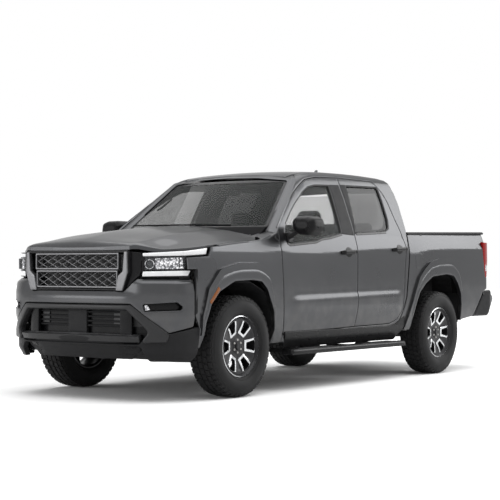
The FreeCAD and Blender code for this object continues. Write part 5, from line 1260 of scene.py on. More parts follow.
def circle(radius, count=120):
    a = np.linspace(0, 2 * math.pi, count, endpoint=False)
    return np.column_stack([radius * np.cos(a), radius * np.sin(a)])


def wheel_stock():
    """Rim at the origin with its outer side at +X: machined face, dark pockets, hub cap and nuts."""
    wheel = Stock()
    turns = [2 * math.pi * (k + 0.5) / SPOKES for k in range(SPOKES)]
    windows = [spun_outline(window_outline(), a) for a in turns]
    face = skin(rim_face, circle(216), windows, lift=0, roll=3, depth=26, grid=9, grow=0, step=7)
    wheel.join(face, 0)
    for a in turns:
        outer = spun_outline(window_outline(19), a)
        inner = spun_outline(window_outline(0.8), a)
        trim = skin(rim_face, outer, [inner], lift=2.2, roll=1.2, depth=2, grid=9, grow=0, step=7)
        points = np.vstack(trim.points)
        radius = np.hypot(points[:, 1], points[:, 2])
        faces = [f for f in trim.faces if all(radius[i] < 203 for i in f)]
        wheel.add(points, faces, 1)
    half = 105
    lip = [
        (half - 4, 226), (half, RIM - 2), (half - 2, RIM + 3), (half - 9, RIM + 2), (half - 14, RIM - 10),
        (-half + 14, RIM - 12), (-half + 10, RIM), (-half, RIM), (-half, RIM - 8), (-half + 16, RIM - 22),
        (20, 200), (half - 34, 206), (half - 22, 213), (half - 16, 220),
    ]
    barrel = lathe(lip, 120, out=-1)
    bright_row = 1
    for index in range(len(barrel.faces)):
        barrel.finishes[index] = int(index % len(lip) == bright_row)
    wheel.join(barrel)
    cap = [(60, 0), (84, 0), (86, 12), (85, 24), (80, 29), (70, 31), (60, 31)]
    wheel.join(lathe(cap, 48, out=-1), 0)
    for a in turns:
        nut = [(52, 0), (74, 0), (77, 4), (77, 6), (74, 10), (52, 10.5)]
        wheel.join(lathe(nut, 6, (0, 48 * math.cos(a), 48 * math.sin(a)), out=-1), 2)
    return wheel


def tyre_profile():
    """Closed section of the carcass: (across, radius)."""
    half = [(0, 384), (60, 383.5), (92, 380), (104, 374), (113, 362), (122, 345), (129, 325), (131.5, 306),
            (130, 285), (124, 266), (114, 250), (105, 242), (100, 238), (96, 232), (92, 222)]
    return [(-a, r) for a, r in half[::-1]] + half[1:]


def tyre_stock():
    """Carcass with two thin raised rings on each sidewall."""
    tyre = Stock()
    tyre.join(lathe(tyre_profile(), 144, out=-1))
    for radius, across, rise in ((258, 119.5, 2.0), (352, 118.6, 1.6)):
        bead = [(across - 2, radius - 3), (across + rise, radius - 1.4), (across + rise, radius + 1.4),
                (across - 2, radius + 3)]
        tyre.join(lathe(bead, 144, out=-1))
        tyre.join(lathe([(-a, r) for a, r in bead], 144))
    return tyre


def block_stock(length, width, height, taper=0.86, lean=0.0):
    """A tread block standing on Z = 0, its top slightly smaller."""
    l, w = length / 2, width / 2
    low = [(-w, -l, -6), (w, -l, -6), (w, l, -6), (-w, l, -6)]
    top = [(x * taper, y * taper, height) for x, y, z in low]
    points = [(x + lean * y, y, z) for x, y, z in low + top]
    faces = [(0, 3, 2, 1), (4, 5, 6, 7), (0, 1, 5, 4), (1, 2, 6, 5), (2, 3, 7, 6), (3, 0, 4, 7)]
    return Stock().add(points, faces)


def repeat_tree(name):
    """Geometry Nodes tree that sets copies of a shape along a step, each turned a little further about X."""
    tree = bpy.data.node_groups.new(name, "GeometryNodeTree")
    face = tree.interface
    face.new_socket("Geometry", in_out="INPUT", socket_type="NodeSocketGeometry")
    for label, kind, value in (("Count", "NodeSocketInt", 2), ("Step", "NodeSocketVector", (0, 0, 0)),
                               ("Turn", "NodeSocketFloat", 0.0), ("Finish", "NodeSocketMaterial", None)):
        socket = face.new_socket(label, in_out="INPUT", socket_type=kind)
        if value is not None:
            socket.default_value = value
    face.new_socket("Geometry", in_out="OUTPUT", socket_type="NodeSocketGeometry")
    given = [Wire(tree, s) for s in tree.nodes.new("NodeGroupInput").outputs]
    shape, count, step, turn, finish = given[:5]
    line = add_node(tree, "GeometryNodeMeshLine", None, {"Count": count, "Offset": step})
    index = add_node(tree, "GeometryNodeInputIndex")
    spin = add_node(tree, "ShaderNodeCombineXYZ", None, {0: index * turn})
    copies = add_node(tree, "GeometryNodeInstanceOnPoints", None,
                      {"Points": line, "Instance": shape, "Rotation": spin})
    solid = add_node(tree, "GeometryNodeRealizeInstances", None, {0: copies})
    coloured = add_node(tree, "GeometryNodeSetMaterial", None, {"Geometry": solid, "Material": finish})
    out = tree.nodes.new("NodeGroupOutput")
    tree.links.new(coloured.socket, out.inputs[0])
    return tree


def put_repeated(name, stock, body, finish, count, step=(0, 0, 0), turn=0.0, place=None, sharp=38):
    """Copies of a shape made by the repeat tree, as one plain mesh that place then moves."""
    tree = bpy.data.node_groups.get("repeat") or repeat_tree("repeat")
    obj = link_mesh(name, stock)
    source = obj.data
    modifier = obj.modifiers.new("Repeat", "NODES")
    modifier.node_group = tree
    values = {"Count": count, "Step": [s * MM for s in step], "Turn": turn, "Finish": finish_named(finish)}
    for socket in tree.interface.items_tree:
        if socket.in_out == "INPUT" and socket.name in values:
            modifier[socket.identifier] = values[socket.name]
    made = bpy.data.meshes.new_from_object(obj.evaluated_get(bpy.context.evaluated_depsgraph_get()))
    obj.modifiers.remove(modifier)
    obj.data = made
    bpy.data.meshes.remove(source)
    if place:
        made.transform(place)
    smooth_mesh(made, sharp)
    made.name = name
    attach(obj, body)


def tread_pitch():
    """One pitch of the tread: three middle blocks, two shoulder blocks and the lugs on the sidewalls."""
    pitch = Stock()
    for across, lean, shift in ((0, 0.12, 0), (-48, -0.12, 12), (48, -0.12, -12)):
        middle = block_stock(48, 38, 8, 0.9, lean)
        pitch.join(middle.moved(lambda p, a=across, s=shift: p + [a, s, 383.5]))
    shoulder, side_lug = block_stock(40, 34, 7, 0.92), block_stock(30, 22, 2.2, 0.8)
    for way in (-1, 1):
        for lug, tilt, across, height in ((shoulder, 7, 85, 380.5), (side_lug, 62, 110, 366)):
            c, s = math.cos(math.radians(tilt)), math.sin(math.radians(tilt)) * way
            turn = np.array([[c, 0, s], [0, 1, 0], [-s, 0, c]])
            pitch.join(lug.moved(lambda p, t=turn, shift=(way * across, way * 4, height): p @ t.T + shift))
    return pitch


def wheel_pieces():
    pitches = bpy.context.scene.truck_sizes.tread_pitches
    rim, tyre, pitch = wheel_stock(), tyre_stock(), tread_pitch()
    for body, (way, station) in WHEELS.items():
        centre = [way * HALF_TRACK, station, AXLE_Z]
        turn = np.array([way, way, 1])
        name = body.replace("_wheel", "")
        put(f"{name}_rim_dressed", rim.moved(lambda p: p * turn + centre), body,
            ["rim_dark", "rim_bright", "brake_steel"], sharp=32, replaces=[f"{name}_rim"])
        put(f"{name}_carcass", tyre.moved(lambda p: p * turn + centre), body, "tyre_rubber", sharp=50,
            replaces=[f"{name}_tyre"])
        place = moved_by(*centre) @ Matrix.Rotation(0 if way > 0 else math.pi, 4, "Z")
        put_repeated(f"{name}_tread", pitch, body, "tyre_rubber", pitches, turn=2 * math.pi / pitches,
                     place=place, sharp=30)


# Nose: bumper, lower fascia, grille and headlamps

def on_nose(points):
    """Outline points (x, z, radius) laid on the nose line."""
    return [(float(arc_of_x(p[0])), *p[1:]) for p in points]


def nose_end(back):
    return arc_of_y(NOSE + back)


def bumper_pieces():
    end = nose_end(380)

    def face(s, z):
        outer = ease(500, 640, np.abs(s))
        ledge = 34 * ease(876, 916, z) * outer
        middle = 16 * ease(776, 818, z) * (1 - outer)
        under = 14 * (1 - ease(500, 620, z)) * outer
        return ledge + middle + under - 9 * ease(560, 640, z) * (1 - ease(800, 880, z))

    half = on_nose([(0, 729), (535, 729, 40), (782, 512, 40)]) + [(end, 560, 14), (end, 914, 10)]
    half += on_nose([(572, 914, 30), (474, 820, 30), (0, 820)])
    slot = on_nose([(636, 672, 8), (622, 726, 12), (826, 742, 14), (852, 704, 16), (840, 682, 12)])
    slots = [slot, [(-s, z, r) for s, z, r in slot]]
    bumper = skin(front_wall(8, face), both_sides(half), slots, lift=0, roll=7, depth=24, closed=True,
                  grid=14)
    put("bumper_skin", bumper, "truck", "paint", replaces=["front_bumper"])
    pocket = on_nose([(616, 664), (604, 734), (834, 752), (866, 704), (848, 672)])
    put_both("{}_fog_pocket", slab(front_wall(44), pocket, 1, 4, grid=30), "truck", "gloss_black")
    wedge = on_nose([(634, 676, 4), (624, 722, 4), (654, 722, 6), (676, 684, 6)])
    put_both("{}_fog_wedge", slab(front_wall(22), wedge, 4, 18, grid=12), "truck", "lamp_bright")
    loop = rounded(slot)
    surround = inlay(front_wall(8, face), inset(loop, -9), 2.4, 2, 3, holes=[loop])
    put_both("{}_fog_surround", surround, "truck", "paint")
    strip = [(end - 2, 640, 4), (end - 2, 986, 4), (end + 24, 986, 4), (end + 24, 664, 10)]
    put_both("{}_bumper_end_strip", inlay(front_wall(-4), strip, 0, 2, 16), "truck", "gloss_black")


def fascia_pieces():
    low = nose_end(424)

    def claw(s, z):
        return 34 * (1 - ease(300, 380, z)) + 10 * (1 - ease(400, 520, z))

    half = on_nose([(0, 725), (533, 725, 40), (778, 505, 40)])
    half += [(nose_end(444), 560, 6), (nose_end(438), 420), (low, 330, 20), (low - 30, 304, 20)]
    half += on_nose([(660, 304, 30), (600, 420, 40), (0, 420)])
    mouth = on_nose([(0, 430), (596, 430, 20), (664, 520, 30), (500, 680, 26), (0, 682)])
    fascia = skin(front_wall(14, claw), both_sides(half), [both_sides(mouth)], lift=0, roll=7, depth=30,
                  closed=True, grid=14)
    put("lower_fascia_skin", fascia, "truck", "dark_plastic", replaces=["lower_fascia"])
    band_outer = on_nose([(0, 722), (540, 722, 40), (792, 506, 30), (776, 446, 30), (690, 446, 20)])
    band_inner = on_nose([(600, 436, 20), (668, 520, 30), (506, 684, 30), (0, 686)])
    mouth_band = slab(front_wall(12), both_sides(band_outer + band_inner), 12, 14, lift=12, grid=14)
    put("fascia_band", mouth_band, "truck", "satin_plastic")
    back = both_sides(on_nose([(0, 420), (640, 420), (690, 520), (520, 706), (0, 706)]))
    put("intake_back", slab(front_wall(96), back, 1, 4, grid=40), "truck", "gloss_black")
    for name, near, far, depth, finish in (("column", -96, 96, 62, "dark_plastic"),
                                           ("left_side", 424, 530, 44, "gloss_black"),
                                           ("right_side", -530, -424, 44, "gloss_black")):
        loop = on_nose([(near, 500), (far, 500), (far, 690), (near, 690)])
        put(f"intake_{name}", slab(front_wall(depth), loop, 5, 20), "truck", finish)
    slat = on_nose([(-424, 0, 3), (424, 0, 3), (424, 14, 3), (-424, 14, 3)])
    slat = slab(front_wall(70), slat, 3, 12, grid=30)
    put_repeated("intake_slats", slat, "truck", "post_black", 4, step=(0, 0, 34), place=moved_by(0, 0, 555))

    def blade_top(s, z):
        return -26 + 40 * ease(486, 500, z)

    blade = both_sides(on_nose([(0, 494), (600, 488, 4), (598, 502, 4), (0, 508)]))
    put("fascia_blade", slab(front_wall(22, blade_top), blade, 4, 40, grid=20), "truck", "satin_plastic")

    def plate(s, z):
        return 20 + 80 * (1 - ease(316, 480, z)) - 12 * (1 - ease(395, 470, np.abs(s))) * ease(320, 350, z)

    lower = both_sides(on_nose([(0, 316), (500, 316, 30), (592, 384, 20), (604, 486, 10), (0, 488)]))
    put("skid_plate", slab(front_wall(10, plate), lower, 8, 26, grid=16), "truck", "dark_plastic")
    # Black plate behind the tow hooks, which also stands for the painted shade under the nose where the claw
    # and the skid plate part.
    recess = on_nose([(440, 352, 10), (716, 352, 10), (700, 512, 10), (440, 512, 10)])
    put_both("{}_hook_recess", slab(front_wall(92), recess, 2, 6, grid=30), "truck", "gloss_black")
    # Black patches on the skid plate stand for the painted shade inside the tow hook openings.
    opening = on_nose([(452, 392, 14), (556, 400, 14), (590, 474, 14), (470, 472, 14)])
    put_both("{}_hook_opening", inlay(front_wall(10, plate), opening, 3, 3, 4), "truck", "gloss_black")


def lattice_bars(width, height, rows, half_bar, falls):
    """Ridged bars of one cell of the grille's lattice: up then down, or the other way where it falls."""
    bars = Stock()
    ridge = [(-half_bar, -2598), (-half_bar, -2604), (0, -2608), (half_bar, -2604), (half_bar, -2598)]
    for row in range(rows):
        for part in range(2):
            x0, x1 = part * width / 2, (part + 1) * width / 2
            z0, z1 = (height, 0) if part != falls else (0, height)
            run = np.array([x1 - x0, z1 - z0])
            across_x, across_z = np.array([-run[1], run[0]]) / np.hypot(*run)
            points = [(x + across_x * off, y, z + row * height + across_z * off)
                      for x, z in ((x0, z0), (x1, z1)) for off, y in ridge]
            bars.add(points, [(k, k + 1, k + 6, k + 5) for k in range(4)])
    return bars


def grille_pieces():
    half_bar = bpy.context.scene.truck_sizes.lattice_bar / MM / 2
    frame_outer = both_sides([(0, 822), (470, 822, 16), (522, 958, 60), (516, 1122, 12), (0, 1122)])
    frame_inner = both_sides([(0, 838), (446, 838, 10), (470, 930, 20), (486, 1104, 10), (0, 1104)])
    frame_bar = slab(flat_front(-2624), frame_outer, 6, 56, holes=[frame_inner])
    back = slab(flat_front(-2564), frame_outer, 2, 6, grid=60)
    put("grille_frame", frame_bar, "truck", "gloss_black", replaces=["grille"])
    put("grille_back", back, "truck", "gloss_black")
    cheek = [(404, 824, 5), (468, 824, 8), (518, 958, 40), (513, 1112, 5), (486, 1112, 5), (472, 968, 14),
             (428, 934, 14)]
    put_both("{}_grille_cheek", slab(flat_front(-2632), cheek, 5, 30), "truck", "satin_bar")
    cells, rows, border, margin = 4, 2, 13, 11
    for tier, half, low, high in ((1, 414, 856, 961), (2, 424, 993, 1092)):
        below, above = low - border, high + border
        outer = [(-half, below, 6), (half, below, 6), (half, above, 6), (-half, above, 6)]
        inside = half - margin
        inner = [(-inside, low, 4), (inside, low, 4), (inside, high, 4), (-inside, high, 4)]
        tier_rim = slab(flat_front(-2622), outer, 4, 30, holes=[inner], step=20)
        put(f"grille_tier_{tier}", tier_rim, "truck", "satin_bar")
        width, height = 2 * inside / cells, (high - low) / rows
        for falls, label in enumerate(("rise", "fall")):
            bars = lattice_bars(width, height, rows, half_bar, falls)
            put_repeated(f"grille_lattice_{tier}_{label}", bars, "truck", "lattice_metal", cells,
                         step=(width, 0, 0), place=moved_by(-inside, 0, low))
    flank = on_nose([(519, 1114, 10), (596, 1106, 16), (624, 1074, 14), (606, 1046, 12), (606, 976, 12),
                     (590, 932, 14), (566, 916, 14), (476, 824, 8), (522, 950, 40)])
    put_both("{}_grille_flank", slab(front_wall(34), flank, 6, 30), "truck", "gloss_black")


def headlamp_pieces():
    far, middle, near = nose_end(548), nose_end(322), nose_end(356)
    start, inner = (float(arc_of_x(x)) for x in (606, 702))
    case = [(start, 922, 8), (start + 4, 1104, 8), (middle, 1120), (far, 1148, 6), (far - 14, 1086, 8),
            (middle + 8, 1070, 6), (middle + 4, 988, 6), (near + 22, 986, 4), (near + 20, 926, 6)]
    upper = [(start + 12, 1078, 5), (start + 8, 1100, 5), (middle, 1118), (far - 8, 1143, 4),
             (far - 22, 1096, 8), (middle, 1084)]
    lower = [(start + 6, 930, 5), (start + 12, 966, 6), (near + 8, 974, 6), (near - 18, 936, 5)]
    window = [(start + 26, 976, 10), (start + 26, 1068, 10), (middle - 8, 1076, 10), (middle - 8, 984, 10)]
    cell = [(inner, 980, 6), (inner, 1064, 6), (middle - 12, 1071, 6), (middle - 12, 984, 6)]

    def facets(s, z):
        return 16 * np.abs(((s - 706) / 46) % 1 - 0.5) + 10 * np.abs(((z - 980) / 40) % 1 - 0.5)

    strip_wall = front_wall(33)
    aim = math.radians(62)
    c, s = math.cos(aim), math.sin(aim)
    turn = np.array([[c, s, 0], [-s, c, 0], [0, 0, 1]])
    spot = front_wall(48)(np.array([[float(arc_of_x(664)), 1020]]))[0]
    ring = lathe([(-30, 38), (4, 38), (8, 35), (8, 31), (2, 29), (-30, 29)], 40, out=-1)
    ball = lathe([(-26, 0), (2, 0), (0, 10), (-5, 19), (-12, 26), (-26, 28)], 40, out=-1)
    back = skin(front_wall(66), window, lift=0, roll=1, depth=3, grow=4, closed=True)
    for name, stock, finish in (
            ("case", slab(front_wall(36), case, 4, 40, holes=[window]), "gloss_black"),
            ("back", back, "gloss_black"),
            ("upper_strip", inlay(strip_wall, upper, 2, 5, 8), "lamp_strip"),
            ("lower_strip", inlay(strip_wall, lower, 2, 5, 8), "lamp_strip"),
            ("reflector", inlay(front_wall(44, facets), cell, 0, 2, 8, grid=9), "lamp_bright"),
            ("lens", skin(front_wall(35), window, lift=2, roll=3, depth=4, grow=0.5), "lens"),
            ("ring", ring.moved(lambda p: p @ turn.T + spot), "lamp_bright"),
            ("projector", ball.moved(lambda p: p @ turn.T + spot), "lens")):
        put_both("{}_headlamp_" + name, stock, "truck", finish,
                 replaces=["headlamps"] if name == "case" else [])
    marker = [(-2146, 724, 5), (-2166, 742, 5), (-2066, 856, 6), (-2042, 834, 6)]
    put_both("{}_amber_marker", inlay(side, marker, 4, 2.5, 5), "truck", "amber")


# Tail: lamps, tailgate and rear bumper

def tail_lamp_pieces():
    def rear_face(x, z):
        return -14 * ease(840, 884, x)

    def lens_bow(y, z):
        return -18 * ease(2440, 2540, y)

    lamp_side = [(2388, 1271, 8), (2412, 1029), (2436, 921, 8), (2506, 921, 10), (2531, 1090),
                 (2522, 1271, 10)]
    lamp_rear = [(799, 923, 5), (880, 923, 10), (876, 1100), (862, 1269, 8), (799, 1269, 5)]
    low_band = [(2452, 984, 4), (2448, 1040, 4), (2516, 1040, 4), (2510, 984, 4)]
    wall = flat_side(896, lens_bow)
    rear = inlay(flat_front(2529, rear_face), lamp_rear, 0, 5, 40, out=-1)
    put_both("{}_tail_lamp_side", inlay(wall, lamp_side, 3, 5, 22), "truck", "red_lens")
    put_both("{}_tail_lamp_rear", rear, "truck", "red_lens")
    put_both("{}_tail_lamp_clear", inlay(wall, low_band, 4.2, 1.5, 3), "truck", "lamp_bright")


def bed_trim_pieces():
    def rail_height(x, y):
        return BED_RAIL(y) + 6 - 10 * ease(836, 856, x)

    cap = [(782, 925), (856, 925), (856, 1700), (852, 2494, 8), (782, 2494, 8)]
    rail_cap = skin(flat_top(0, rail_height), cap, lift=1, roll=3, depth=13, grow=2)
    put_both("{}_bed_rail_cap", rail_cap, "truck", "post_black")
    filler = [(994, 1146, 24), (1000, 1002, 24), (1142, 998, 24), (1146, 1140, 24)]
    put("fuel_door", inlay(side, filler, 2.6, 1.4, 2), "truck", "paint")
    for station in (1180, 2120):
        rail = float(BED_RAIL(station))
        clip = [(station - 28, rail - 2, 3), (station + 28, rail - 2, 3), (station + 15, rail - 26, 6),
                (station - 15, rail - 26, 6)]
        put_both(f"{{}}_rail_clip_{station}", inlay(side, clip, 6, 3, 6), "truck", "gloss_black")


def tailgate_pieces():
    def gate_face(x, z):
        return -9 * (1 - ease(620, 660, np.abs(x))) * ease(826, 850, z) * (1 - ease(1140, 1164, z))

    edge = both_sides([(0, 747), (786, 747, 18), (786, 1338, 10), (0, 1338)])
    hole = both_sides([(0, 1206), (130, 1206, 14), (130, 1274, 14), (0, 1274)])
    cup = both_sides([(0, 1200), (136, 1200, 14), (136, 1280, 14), (0, 1280)])
    grip = both_sides([(0, 1233), (112, 1233, 10), (112, 1262, 10), (0, 1262)])
    top = both_sides([(0, 2436), (784, 2436, 4), (784, 2500, 6), (0, 2500)])
    gate = slab(flat_front(2501, gate_face), edge, 6, 54, holes=[hole], out=-1, grid=22)
    inner_panel = skin(flat_front(2440), edge, lift=0, roll=5, depth=8, grow=-6, closed=True, grid=60)
    put("tailgate_skin", gate, "tailgate", "paint", replaces=["tailgate"])
    put("gate_handle_cup", slab(flat_front(2474), cup, 2, 10, out=-1, grid=40), "tailgate", "gloss_black")
    put("gate_handle", slab(flat_front(2497), grip, 8, 14, out=-1), "tailgate", "gloss_black")
    put("gate_inner_panel", inner_panel, "tailgate", "bed_liner")
    put("gate_top_cap", slab(flat_top(1337), top, 5, 8, lift=6, grid=40), "tailgate", "dark_plastic")


def rear_bumper_pieces():
    def corner_bow(y, z):
        return -16 * ease(2540, 2640, y)

    pad = [(200, 2526, 10), (752, 2526, 10), (752, 2652, 16), (200, 2652, 16)]
    flap = [(640, 470, 20), (640, 760), (868, 760), (868, 470, 20)]
    end = [(2206, 534, 12), (2396, 736, 20), (2436, 784, 12), (2600, 788, 34), (2634, 716, 24),
           (2545, 557, 34), (2500, 532, 10)]
    corner = inlay(flat_side(893, corner_bow), end, 3, 14, 20)
    put_both("{}_bumper_pad", slab(flat_top(741), pad, 3, 6, lift=3, grid=40), "truck", "dark_plastic")
    put_both("{}_mud_flap", slab(flat_front(1897), flap, 3, 7), "truck", "dark_plastic")
    put_both("{}_bumper_corner", corner, "truck", "post_black")
    ridge = slab(flat_top(744), [(206, -3, 2), (746, -3, 2), (746, 3, 2), (206, 3, 2)], 1.5, 2, grid=60)
    for hand, shape in both_hands(ridge):
        put_repeated(f"{hand}_pad_ridges", shape, "truck", "dark_plastic",
                     bpy.context.scene.truck_sizes.pad_ridges, step=(0, 16, 0), place=moved_by(0, 2541, 2))


# Side trim: mirrors, handles, steps, wipers and antenna

def bent(points, radius, sides=12, parts=6):
    """A round bar along a smooth curve through points."""
    return tube(through(points, parts), radius, sides)


def ringed(rings, first_cap=True):
    """Skin over rings of points, all of one length, capped at the last one and, if asked, at the first."""
    sides = len(rings[0])
    faces = []
    for i in range(len(rings) - 1):
        for k in range(sides):
            a, b = i * sides + k, i * sides + (k + 1) % sides
            faces.append((a, a + sides, b + sides, b))
    if first_cap:
        faces.append(tuple(range(sides)))
    faces.append(tuple((len(rings) - 1) * sides + k for k in range(sides))[::-1])
    return Stock().add(np.vstack(rings), faces)


def mirror_pieces():
    shell = [(926, 1306, 26), (918, 1374, 30), (950, 1417, 40), (1070, 1415, 60), (1128, 1394, 40),
             (1140, 1312, 40), (1084, 1258, 40), (980, 1266, 60)]
    glass = [(948, 1314, 22), (944, 1370, 22), (966, 1398, 26), (1060, 1396, 50), (1102, 1382, 26),
             (1108, 1322, 26), (1066, 1286, 26), (990, 1290, 40)]
    foot = [(-1092, 1204, 14), (-1088, 1284, 16), (-1040, 1292, 14), (-1000, 1286, 14), (-994, 1232, 20),
            (-1030, 1208, 20)]
    housing = slab(flat_front(-1104), shell, 52, 120, grid=9, step=9)
    rim = inlay(flat_front(-964), shell, 4, 4, 6, holes=[inset(rounded(shell, 9), 9)], out=-1, step=9)
    neck = bent([(872, -1062, 1252), (905, -1050, 1262), (940, -1036, 1290), (968, -1028, 1306)],
                [24, 23, 21, 20], 14, 1)
    face = slab(flat_front(-964), glass, 0.6, 2, lift=1, out=-1)
    for name, stock, finish in (("rim", rim, "dark_plastic"), ("glass", face, "mirror_face"),
                                ("foot", inlay(side, foot, 16, 9, 8, grid=10), "mirror_black"),
                                ("neck", neck, "mirror_black")):
        put_both("{}_mirror_" + name, stock, "front_{}_door", finish)
    put_both("{}_mirror_housing", housing, "front_{}_door", "mirror_black", replaces=["{}_mirror"])


def handle_stock(y0, y1, z0, z1):
    """Strap handle that stands off the door and meets it at both ends."""
    ys = np.linspace(y0, y1, 15)
    zs = np.interp(ys, [y0, y1], [z0, z1])
    xs = side_x(ys, zs) + 4 + 24 * ease(0, 34, ys - y0) * ease(0, 34, y1 - ys)
    turns = [2 * math.pi * k / 12 for k in range(12)]
    rings = []
    for x, y, z in zip(xs, ys, zs):
        half = 12 + 6 * ease(0, 24, min(y - y0, y1 - y))
        rings.append([(x + 7 * math.cos(a), y, z + half * math.sin(a)) for a in turns])
    return ringed(rings)


def handle_pieces():
    for name, span in (("front", (-306, -75, 1134, 1142)), ("rear", (564, 800, 1170, 1180))):
        y, z = span[1], span[3]
        middle_y, middle_z = y - 96, (span[2] + z) / 2
        turns = np.linspace(0, 2 * math.pi, 40)[:-1]
        cup = [(middle_y + 58 * math.cos(a), middle_z + 44 * math.sin(a)) for a in turns]
        lock = [(y + 4, z - 13, 8), (y + 30, z - 12, 8), (y + 30, z + 14, 8), (y + 4, z + 13, 8)]
        body = name + "_{}_door"
        put_both(name + "_{}_handle", handle_stock(*span), body, "mirror_black")
        # The cup round each handle is a black patch on the door: painted shade of the pocket behind the
        # handle.
        cup = inlay(side, cup, 2.2, 1.6, 2, step=9)
        put_both(name + "_{}_handle_cup", cup, body, "mirror_black")
        put_both(name + "_{}_handle_end", inlay(side, lock, 16, 6, 12), body, "mirror_black")


def step_pieces():
    bar = bent([(830, -1050, 318), (882, -1044, 318), (899, -1000, 318), (899, -600, 318), (899, 0, 318),
                (899, 560, 318), (899, 740, 318), (882, 786, 318), (830, 792, 318)], 24, 14)
    # Black cover below the doors: partly the rocker, and partly a black sheet, tucked in low down, that
    # stands for the painted shade beneath the body.
    cover = [(-1150, 484, 10), (560, 484), (640, 500, 30), (700, 540, 30), (760, 620, 20), (792, 618, 10),
             (800, 480, 40), (700, 352, 30), (-1080, 352, 30)]

    def tuck(y, z):
        return -62 * (1 - ease(340, 476, z))

    sill = inlay(flat_side(899, tuck), cover, 0, 4, 10, grid=18)
    put_both("{}_sill_cover", sill, "truck", "mirror_black")
    put_both("{}_step_tube", bar, "truck", "mirror_black")
    rib_step = 20
    for label, y0, y1 in (("front", -960, -420), ("rear", 40, 620)):
        pad = [(820, y0, 14), (906, y0, 22), (906, y1, 22), (820, y1, 14)]
        rib = [(832, -4, 3), (894, -4, 3), (894, 4, 3), (832, 4, 3)]
        plank = slab(flat_top(341), pad, 4, 6, lift=5, grid=40)
        put_both(f"{{}}_{label}_step_pad", plank, "truck", "dark_plastic")
        count = int((y1 - y0 - 40) / rib_step)
        for hand, shape in both_hands(slab(flat_top(345), rib, 2, 3, lift=3, grid=30)):
            put_repeated(f"{hand}_{label}_step_ribs", shape, "truck", "dark_plastic", count,
                         step=(0, rib_step, 0), place=moved_by(0, y0 + 30, 0))


def cowl_pieces():
    foot = 1334

    def rise(x, y):
        start = nose_z(x, np.full_like(x, -1402.0)) - 16
        share = ease(-1400, windshield_y(x, foot), y)
        return start + (foot - start) * share

    edge = both_sides([(0, -1390), (520, -1408), (700, -1400, 20), (764, -1300, 20), (745, -1166, 10),
                       (600, -1212), (300, -1265), (0, -1283)])
    put("cowl", inlay(flat_top(0, rise), edge, 0, 3, 14, grid=20), "truck", "cowl_black")
    for name, pivot, tip in (("near", 430, -170), ("far", -190, -460)):
        arm = []
        for share in np.linspace(0, 1, 12):
            x, z = pivot + (tip - pivot) * share, 1346 + 14 * share
            arm.append((x, windshield_y(x, z) - 12 - 6.4 * math.sin(share * math.pi), z))
        put(f"{name}_wiper_arm", tube(arm, np.linspace(9, 5, 12), 8), "truck", "cowl_black")
        blade = []
        for share in np.linspace(0, 1, 16):
            x = tip - 240 + 560 * share
            z = 1356 + 0.012 * abs(x)
            blade.append((x, windshield_y(x, z) - 7, z))
        put(f"{name}_wiper_blade", tube(blade, 6, 8), "truck", "cowl_black")
    turns = [2 * math.pi * k / 20 for k in range(20)]
    levels = [(1858, 572, 702, 17), (1874, 592, 702, 15), (1892, 622, 701, 13), (1912, 652, 700, 11),
              (1928, 676, 699, 8.5), (1936, 686, 698, 4)]
    fin = [[(half * math.sin(a), (y0 + y1) / 2 - (y1 - y0) / 2 * math.cos(a), z) for a in turns]
           for z, y0, y1, half in levels]
    put("antenna_fin", ringed(fin, first_cap=False), "truck", "gloss_black")


# Cabin

